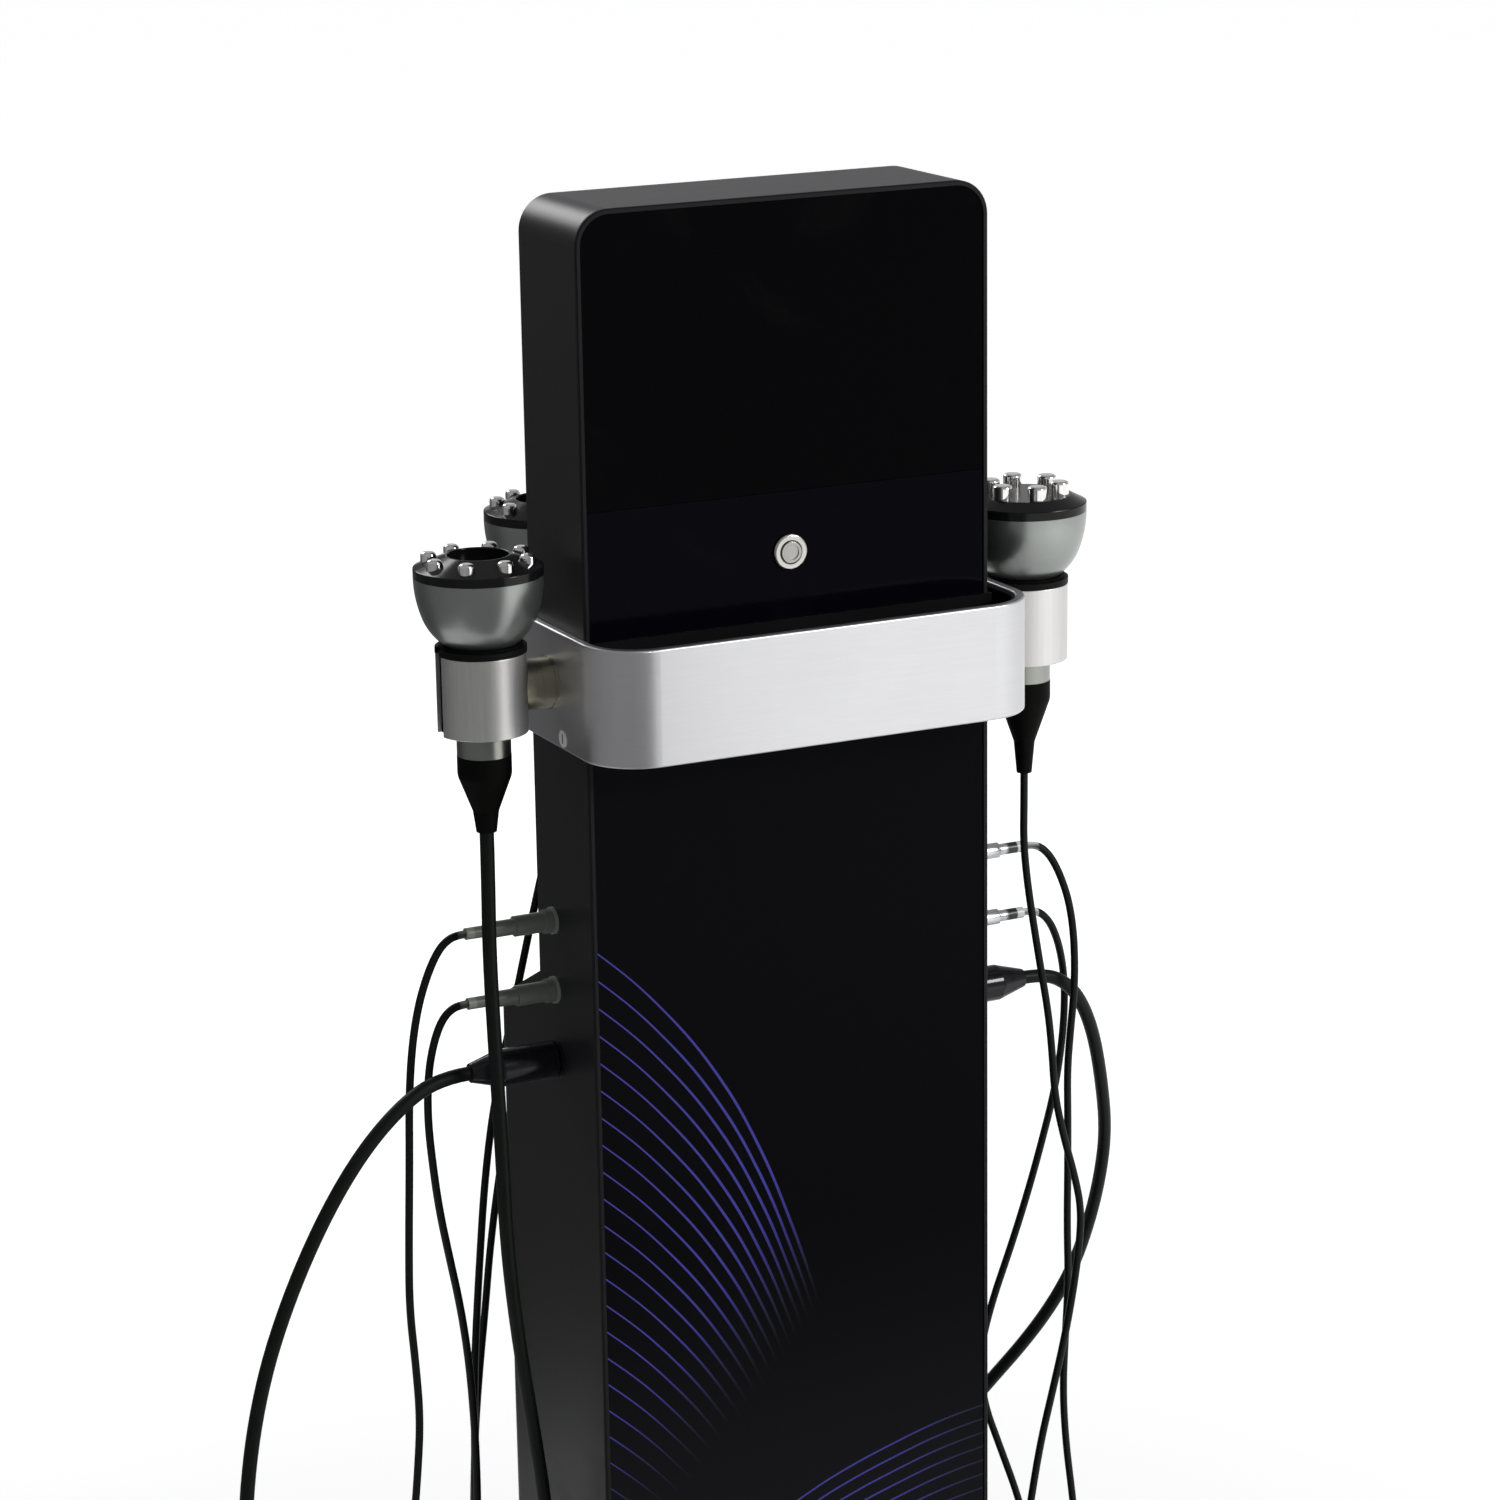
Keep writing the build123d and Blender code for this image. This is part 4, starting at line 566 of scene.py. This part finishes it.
paint(tree, shader, blend_colours(tree, rim_painted_shade, colour, (0.002, 0.002, 0.003)),
      blend_values(tree, rim_painted_shade, rough, rim_rough))
relief(tree, shader, coat["Pebbles"], depth=0.00006, strength=0.35)
finish(shell_paint, "column_shell", "rear_cabinet", "plinth")

# Gloss black glass of the screen
wiped("screen_black", ["screen_glass"], gloss=0.02, smear_scale=9.0, roughness=(0.05, 0.16),
      tones=((0.0012, 0.0012, 0.0016), (0.0028, 0.0028, 0.0032)))

# Gloss panel round the button
wiped("panel_black", ["control_panel"], gloss=0.02, smear_scale=13.0, roughness=(0.10, 0.22),
      tones=((0.0019, 0.0017, 0.0036), (0.0032, 0.0029, 0.0050)))

# Lower front panel with its printed lines, violet where they are strong and grey where they fade
panel_painted_shade_heights = (0.35, 0.60)
printed_front, tree, shader, place = new_finish("printed_front", gloss=0.02)
marks = use_effect(tree, handling, place, Smear_Scale=8.0)
# Painted shade: the panel's base colour is lighter towards the bottom and darker towards the top
height = axes(tree, place)[2]
colour = blend_colours(tree, ramp_between(tree, height, *panel_painted_shade_heights),
                       (0.0082, 0.0082, 0.0105), (0.0018, 0.0018, 0.0028))
for sweep, strong, grey, violet in (
        (left_sweep, (0.0, 0.75), (0.05, 0.05, 0.075), (0.054, 0.050, 0.28)),
        (right_sweep, (0.1, 0.9), (0.05, 0.05, 0.08), (0.054, 0.052, 0.27))):
    printed = use_effect(tree, sweep, place)["Lines"]
    ink = blend_colours(tree, ramp_between(tree, printed, *strong), grey, violet)
    colour = blend_colours(tree, printed, colour, ink)
paint(tree, shader, colour, blend_values(tree, marks["Smears"], 0.10, 0.24))
finish(printed_front, "lower_front_panel")

# Satin aluminium of the tray band and the rear rail
grain_share = 0.6
blast_share = 0.4
band_satin, tree, shader, place = new_finish("band_satin", metal=1.0)
blast = use_effect(tree, pebble_coat, place, Pebble_Scale=2600.0, Cloud_Scale=14.0)
grain = use_effect(tree, brushing, mapped(tree, place, (0.04, 0.04, 1.0)), Line_Scale=900.0)
tone = maths(tree, "ADD", product(tree, grain["Lines"], grain_share),
             product(tree, blast["Clouds"], blast_share))
paint(tree, shader, blend_colours(tree, tone, (0.52, 0.52, 0.535), (0.66, 0.66, 0.675)),
      blend_values(tree, tone, 0.34, 0.48))
relief(tree, shader, blast["Pebbles"], depth=0.00004, strength=0.3)
finish(band_satin, "tray_band", "rear_rail")

# Screw heads, those of the band with a driver slot bumped in and painted near black as painted
# shade in the slot
band_screw_y = -0.056
band_screw_height = 0.9228
slot_half_width = 0.0006
slot_half_length = 0.0030
slot_soft = 0.0002
slot_depth = 0.0004
screw_satin, tree, shader, place = new_finish("screw_satin", metal=0.4)
grain = use_effect(tree, brushing, mapped(tree, place, (0.05, 1.0, 1.0)), Line_Scale=1500.0)
x, y, z = axes(tree, mapped(tree, place, centre=(0.0, band_screw_y, band_screw_height)))
beside = within(tree, maths(tree, "ABSOLUTE", y), slot_half_width, slot_soft)
along = within(tree, maths(tree, "ABSOLUTE", z), slot_half_length, slot_soft)
slot_and_painted_shade = product(tree, beside, along)
# Painted shade: the slot is painted near black where shade would fall in it
paint(tree, shader, blend_colours(tree, slot_and_painted_shade, (0.88, 0.88, 0.87), (0.02, 0.02, 0.02)),
      blend_values(tree, grain["Lines"], 0.2, 0.42))
relief(tree, shader, maths(tree, "SUBTRACT", 1.0, slot_and_painted_shade), depth=slot_depth)
finish(screw_satin, "band_screws")
for screws in back_screws:
    screws.data.materials.clear()
    screws.data.materials.append(screw_satin)

# Black moulded plastic of the tray liner and the cup liners
coated("moulded_black", ["tray_liner", "front_cup_liners", "rear_cup_liners", "probe_cups"],
       gloss=0.07, pebble_scale=1800.0, cloud_scale=20.0, depth=0.00005, strength=0.5,
       tones=((0.003, 0.003, 0.0035), (0.006, 0.006, 0.0065)), roughness=(0.42, 0.58),
       dust={"share": 0.04, "tone": pale_dust})

# Drawn aluminium of the holder sleeves, its lines upright
scratch_rough = 0.08
sleeve_satin, tree, shader, place = new_finish("sleeve_satin", metal=1.0)
grain = use_effect(tree, brushing, mapped(tree, place, (1.0, 1.0, 0.02)), Line_Scale=700.0)
rough = maths(tree, "ADD", blend_values(tree, grain["Lines"], 0.34, 0.50),
              product(tree, grain["Scratches"], scratch_rough))
paint(tree, shader,
      blend_colours(tree, grain["Lines"], (0.52, 0.515, 0.505), (0.69, 0.685, 0.67)), rough)
relief(tree, shader, grain["Lines"], depth=0.00003, strength=0.4)
finish(sleeve_satin, "front_sleeves", "rear_sleeves")

# Nickelled brass of the spigots
brushed("spigot_nickel", ["holder_spigots"], line_scale=900.0, along=(1.0, 0.04, 0.04),
        tones=((0.27, 0.25, 0.185), (0.40, 0.375, 0.30)), roughness=(0.26, 0.42))

# Blasted gunmetal of the bowls, over the greener silver of the ferrules
ferrule_top = 0.940
ferrule_soft = 0.001
bowl_metal = 0.88
bowl_satin, tree, shader, place = new_finish("bowl_satin")
blast = use_effect(tree, pebble_coat, place, Pebble_Scale=2400.0, Cloud_Scale=30.0)
bowl = blend_colours(tree, blast["Clouds"], (0.255, 0.27, 0.26), (0.31, 0.325, 0.31))
ferrule = blend_colours(tree, blast["Clouds"], (0.24, 0.25, 0.225), (0.33, 0.34, 0.31))
above = beyond(tree, axes(tree, place)[2], ferrule_top, ferrule_soft)
paint(tree, shader, blend_colours(tree, above, ferrule, bowl),
      blend_values(tree, blast["Clouds"], 0.25, 0.33))
tree.links.new(blend_values(tree, above, 1.0, bowl_metal), shader.inputs["Metallic"])
relief(tree, shader, blast["Pebbles"], depth=0.00003, strength=0.3)
finish(bowl_satin, *[corner + "_bowl" for corner in corners])

# Semi-gloss black of the treatment faces
coated("face_black", [corner + "_face" for corner in corners], gloss=0.22,
       pebble_scale=700.0, cloud_scale=40.0, depth=0.00003, strength=0.2,
       tones=((0.004, 0.004, 0.0045), (0.007, 0.007, 0.008)), roughness=(0.16, 0.28),
       smear_scale=40.0)

# Polished electrodes
wiped("electrode_chrome", [corner + "_electrodes" for corner in corners], metal=1.0,
      smear_scale=90.0, roughness=(0.09, 0.22), tones=((0.88, 0.87, 0.85), (0.74, 0.73, 0.70)))

# Matt rubber of the tails
coated("boot_rubber", [corner + "_tail" for corner in corners], gloss=0.04,
       pebble_scale=1300.0, cloud_scale=26.0, depth=0.00005, strength=0.5,
       tones=((0.0016, 0.0019, 0.0015), (0.0036, 0.0040, 0.0033)), roughness=(0.48, 0.66))

# Satin jacket of the cords, with a moulded end where a thin cord leaves its plug: white at the
# right, painted grey at the left as painted shade
moulded_end_bottom = 0.7405
moulded_end_height_soft = 0.0015
moulded_end_front = -0.022
moulded_end_front_soft = 0.0015
moulded_end_start = 0.1998
moulded_end_start_soft = 0.0002
right_end_stop = 0.2116
left_end_stop = -0.2062
end_stop_soft = 0.0008
middle_soft = 0.01
cord_jacket, tree, shader, place = new_finish("cord_jacket", gloss=0.12)
coat = use_effect(tree, pebble_coat, place, Pebble_Scale=1500.0, Cloud_Scale=60.0)
jacket = blend_colours(tree, coat["Clouds"], (0.0035, 0.0050, 0.0038), (0.0068, 0.0085, 0.0070))
x, y, z = axes(tree, place)
moulded_end = product(
    tree,
    beyond(tree, z, moulded_end_bottom, moulded_end_height_soft),
    beyond(tree, y, moulded_end_front, moulded_end_front_soft),
    beyond(tree, maths(tree, "ABSOLUTE", x), moulded_end_start, moulded_end_start_soft),
    within(tree, x, right_end_stop, end_stop_soft),
    beyond(tree, x, left_end_stop, end_stop_soft))
right_side = ramp_between(tree, x, -middle_soft, middle_soft)
# Painted shade: the left moulded ends are a darker grey copy of the white right ones
end_tone_shaded_left = blend_colours(tree, right_side, (0.13, 0.14, 0.12), (0.62, 0.63, 0.62))
paint(tree, shader, blend_colours(tree, moulded_end, jacket, end_tone_shaded_left),
      blend_values(tree, coat["Clouds"], 0.36, 0.52))
relief(tree, shader, coat["Pebbles"], depth=0.00004, strength=0.35)
for cord in cords:
    cord.data.materials.append(cord_jacket)

# Turned stainless steel of the push button, its marks in rings round the middle; the dished cap is
# painted darker than the flange as painted shade
button_height = 1.0289
cap_reach = 0.0068
cap_soft = 0.0002
ring_scale = 3200.0
ring_detail = 3.0
button_steel, tree, shader, place = new_finish("button_steel", metal=1.0)
x, y, z = axes(tree, mapped(tree, place, centre=(0.0, 0.0, button_height)))
radius = reach_from(tree, x, z)
rings = tree.nodes.new("ShaderNodeTexNoise")
rings.noise_dimensions = "1D"
rings.inputs["Scale"].default_value = ring_scale
rings.inputs["Detail"].default_value = ring_detail
tree.links.new(radius, rings.inputs["W"])
turned = rings.outputs["Fac"]
flange = blend_colours(tree, turned, (0.40, 0.395, 0.365), (0.62, 0.615, 0.58))
# Painted shade: the dished cap carries the turned rings on a darker tone than the flange
dish_with_painted_shade = blend_colours(tree, turned, (0.18, 0.18, 0.165), (0.52, 0.515, 0.49))
on_cap = within(tree, radius, cap_reach, cap_soft)
paint(tree, shader, blend_colours(tree, on_cap, flange, dish_with_painted_shade),
      blend_values(tree, turned, 0.14, 0.32))
relief(tree, shader, turned, depth=0.00005, strength=0.7)
finish(button_steel, "button_bezel", "button_cap")

# Sockets in the sides: grey round the thin plugs, black round the thick ones below them
thin_row_bottom = 0.727
row_soft = 0.002
socket_satin, tree, shader, place = new_finish("socket_satin", metal=0.3)
grain = use_effect(tree, brushing, mapped(tree, place, (0.05, 1.0, 1.0)), Line_Scale=1200.0)
grey = blend_colours(tree, grain["Lines"], (0.20, 0.215, 0.20), (0.32, 0.34, 0.32))
thin_row = beyond(tree, axes(tree, place)[2], thin_row_bottom, row_soft)
paint(tree, shader, blend_colours(tree, thin_row, (0.006, 0.006, 0.008), grey),
      blend_values(tree, grain["Lines"], 0.28, 0.44))
finish(socket_satin, "side_sockets")

# Thin plugs: bright metal with a black ring and a white end at the right; at the left painted as a
# dull grey-green non-metal copy, a painted shade
plug_ring_start = 0.1850
plug_ring_soft = 0.0040
plug_end_start = 0.1945
plug_end_soft = 0.0010
plug_satin, tree, shader, place = new_finish("plug_satin")
grain = use_effect(tree, brushing, mapped(tree, place, (1.0, 0.05, 0.05)), Line_Scale=1100.0)
x, y, z = axes(tree, place)
out = maths(tree, "ABSOLUTE", x)
ring = beyond(tree, out, plug_ring_start, plug_ring_soft)
end = beyond(tree, out, plug_end_start, plug_end_soft)
# Painted shade: the left plugs are a darker, non-metal copy of the right ones
left_tone_painted_shade = blend_colours(tree, end, (0.115, 0.125, 0.11), (0.20, 0.21, 0.18))
right_tone = blend_colours(tree, ring, (0.62, 0.64, 0.64), (0.010, 0.013, 0.010))
right_tone = blend_colours(tree, end, right_tone, (0.62, 0.63, 0.62))
right_side = ramp_between(tree, x, -middle_soft, middle_soft)
paint(tree, shader, blend_colours(tree, right_side, left_tone_painted_shade, right_tone),
      blend_values(tree, grain["Lines"], 0.26, 0.44))
covered = maths(tree, "MAXIMUM", ring, end)
bare = product(tree, maths(tree, "SUBTRACT", 1.0, covered), right_side)
tree.links.new(bare, shader.inputs["Metallic"])
relief(tree, shader, grain["Lines"], depth=0.00002, strength=0.3)
finish(plug_satin, "thin_plugs")

# Thick plugs
coated("plug_black", ["thick_plugs"], gloss=0.26, pebble_scale=1500.0, cloud_scale=40.0,
       depth=0.00002, strength=0.15, tones=((0.0045, 0.0045, 0.0065), (0.0085, 0.0085, 0.011)),
       roughness=(0.10, 0.20))

# Small probes: black boot, pale body, bright head
probe_boot_top = 0.8985
probe_boot_soft = 0.0010
probe_head_bottom = 1.0655
probe_head_soft = 0.0007
probe_head_rough = 0.14
probe_shell, tree, shader, place = new_finish("probe_shell")
marks = use_effect(tree, handling, place, Smear_Scale=50.0)
height = axes(tree, place)[2]
body = beyond(tree, height, probe_boot_top, probe_boot_soft)
head = beyond(tree, height, probe_head_bottom, probe_head_soft)
colour = blend_colours(tree, body, (0.008, 0.008, 0.008), (0.62, 0.63, 0.64))
rough = blend_values(tree, marks["Smears"], 0.26, 0.40)
paint(tree, shader, blend_colours(tree, head, colour, (0.86, 0.85, 0.83)),
      blend_values(tree, head, rough, probe_head_rough))
tree.links.new(head, shader.inputs["Metallic"])
finish(probe_shell, "left_probe", "right_probe")

# Zinc-plated caster forks
coated("fork_zinc", [corner + "_fork" for corner in corners], metal=1.0,
       pebble_scale=700.0, cloud_scale=45.0, depth=0.00004, strength=0.3,
       tones=((0.40, 0.40, 0.41), (0.60, 0.60, 0.59)), roughness=(0.28, 0.50), smear_scale=30.0)

# Caster wheels: rubber tread on a grey nylon hub
axle_places = {"front": -0.113, "rear": 0.157}
axle_height = 0.0375
hub_reach = 0.0283
hub_soft = 0.0004
for row, axle_y in axle_places.items():
    rolling, tree, shader, place = new_finish(row + "_wheel_rubber", gloss=0.3)
    x, y, z = axes(tree, mapped(tree, place, centre=(0.0, axle_y, axle_height)))
    tread = beyond(tree, reach_from(tree, y, z), hub_reach, hub_soft)
    coat = use_effect(tree, pebble_coat, place, Pebble_Scale=800.0, Cloud_Scale=60.0)
    scuffs = use_effect(tree, handling, place, Smear_Scale=70.0)
    worn = blend_colours(tree, scuffs["Smears"], (0.018, 0.018, 0.018), (0.075, 0.072, 0.068))
    hub = blend_colours(tree, coat["Clouds"], (0.16, 0.16, 0.165), (0.22, 0.22, 0.225))
    paint(tree, shader, blend_colours(tree, tread, hub, worn),
          blend_values(tree, tread, 0.42, 0.72))
    relief(tree, shader, coat["Pebbles"], depth=0.00008, strength=0.5)
    finish(rolling, "left_" + row + "_wheel", "right_" + row + "_wheel")

# Metal boxes inside
brushed("module_mill", ["power_modules", "screen_module"], line_scale=600.0, along=(0.03, 1.0, 1.0),
        tones=((0.45, 0.45, 0.46), (0.64, 0.64, 0.65)), roughness=(0.32, 0.50))

# Circuit board: green mask with a pattern of tracks
board_mask, tree, shader, place = new_finish("board_mask")
coat = use_effect(tree, pebble_coat, place, Pebble_Scale=500.0, Cloud_Scale=50.0)
tracks = tree.nodes.new("ShaderNodeTexBrick")
for label, value in (("Scale", 90.0), ("Mortar Size", 0.04), ("Color1", (0.008, 0.10, 0.04, 1.0)),
                     ("Color2", (0.010, 0.13, 0.055, 1.0)), ("Mortar", (0.03, 0.22, 0.09, 1.0))):
    tracks.inputs[label].default_value = value
tree.links.new(place, tracks.inputs["Vector"])
paint(tree, shader, tracks.outputs["Color"], blend_values(tree, coat["Clouds"], 0.28, 0.45))
finish(board_mask, "main_board")

# Fan, mains inlet and rocker
coated("fan_black", ["fan_frame", "fan_rotor", "mains_inlet", "mains_rocker"], gloss=0.4,
       pebble_scale=1200.0, cloud_scale=35.0, depth=0.00005, strength=0.4,
       tones=((0.009, 0.009, 0.009), (0.016, 0.016, 0.016)), roughness=(0.38, 0.55),
       dust={"share": 0.15, "tone": (0.25, 0.24, 0.22), "Speck_Scale": 400.0})


# Matt finish in one tone, for the floor and the cards
matt_rough = 0.9


def plain_finish(name, tone, gloss):
    material, tree, shader, place = new_finish(name, gloss)
    shader.inputs["Base Color"].default_value = (*tone, 1.0)
    shader.inputs["Roughness"].default_value = matt_rough
    return material, tree, shader, place


# Floor, paler the further it lies, in what the camera and shiny surfaces see
floor_sides = 96
floor_radius = 60.0
glow_reach = (0.3, 3.0)
near_glow = 0.25
far_glow = 0.68
bpy.ops.mesh.primitive_circle_add(vertices=floor_sides, radius=floor_radius, fill_type="NGON",
                                  location=(0.0, 0.0, 0.0))
floor = bpy.context.object
floor.name = "studio_floor"
floor_white, tree, shader, place = plain_finish("floor_white", (0.92, 0.92, 0.92), gloss=0.1)
ray = tree.nodes.new("ShaderNodeLightPath")
mirrored = maths(tree, "MAXIMUM", ray.outputs["Is Glossy Ray"], ray.outputs["Is Transmission Ray"])
seen = maths(tree, "MAXIMUM", ray.outputs["Is Camera Ray"], mirrored)
away = tree.nodes.new("ShaderNodeVectorMath")
away.operation = "LENGTH"
tree.links.new(place, away.inputs[0])
glow = ramp_between(tree, away.outputs["Value"], *glow_reach, near_glow, far_glow)
shader.inputs["Emission Color"].default_value = (1.0, 1.0, 1.0, 1.0)
tree.links.new(product(tree, seen, glow), shader.inputs["Emission Strength"])
floor.data.materials.append(floor_white)


# Grey cards beside the machine, which only its shiny surfaces show
def facing(place, target, axis):
    return (Vector(target) - Vector(place)).to_track_quat(axis, "Y").to_euler()


def grey_card(name, place, target, width, height, shade):
    bpy.ops.mesh.primitive_plane_add(size=1.0, location=place)
    card = bpy.context.object
    card.name = name
    card.scale = (width, height, 1.0)
    card.rotation_euler = facing(place, target, "Z")
    card.visible_camera = False
    card.visible_diffuse = False
    card.visible_transmission = False
    card.visible_shadow = False
    card.data.materials.append(plain_finish(name + "_grey", (shade, shade, shade), gloss=0.0)[0])


grey_card("back_left_card", place=(-0.55, 0.85, 0.72), target=(-0.14, 0.0, 0.72),
          width=1.5, height=1.44, shade=0.16)
grey_card("left_card", place=(-1.15, -0.15, 0.72), target=(0.0, -0.15, 0.72),
          width=1.3, height=1.44, shade=0.30)
grey_card("front_left_card", place=(-0.605, -0.45, 0.66), target=(-0.605, 0.0, 0.66),
          width=1.17, height=1.3, shade=0.40)

# Studio light: a soft sky that the camera sees as white, and two softboxes
sky_reach = (-0.05, 0.65)
low_sky = (0.62, 0.62, 0.63)
high_sky = (0.30, 0.30, 0.31)
world = bpy.data.worlds.new("studio")
scene.world = world
world.use_nodes = True
tree = world.node_tree
back = tree.nodes["Background"]
x, y, z = axes(tree, tree.nodes.new("ShaderNodeTexCoord").outputs["Generated"])
sky = blend_colours(tree, ramp_between(tree, z, *sky_reach), low_sky, high_sky)
to_camera = tree.nodes.new("ShaderNodeLightPath").outputs["Is Camera Ray"]
tree.links.new(blend_colours(tree, to_camera, sky, (1.0, 1.0, 1.0)), back.inputs["Color"])
back.inputs["Strength"].default_value = 1.0


def softbox(name, place, target, width, power):
    lamp = bpy.data.lights.new(name, "AREA")
    lamp.shape = "RECTANGLE"
    lamp.size = width
    lamp.size_y = width
    lamp.energy = power
    stand = bpy.data.objects.new(name, lamp)
    scene.collection.objects.link(stand)
    stand.location = place
    stand.rotation_euler = facing(place, target, "-Z")


softbox("key_softbox", place=(2.4, -3.2, 2.7), target=(0.0, 0.0, 0.85), width=1.1, power=110.0)
softbox("back_softbox", place=(-0.6, 3.4, 3.0), target=(0.0, 0.0, 0.9), width=1.6, power=50.0)

scene.view_settings.view_transform = "Standard"
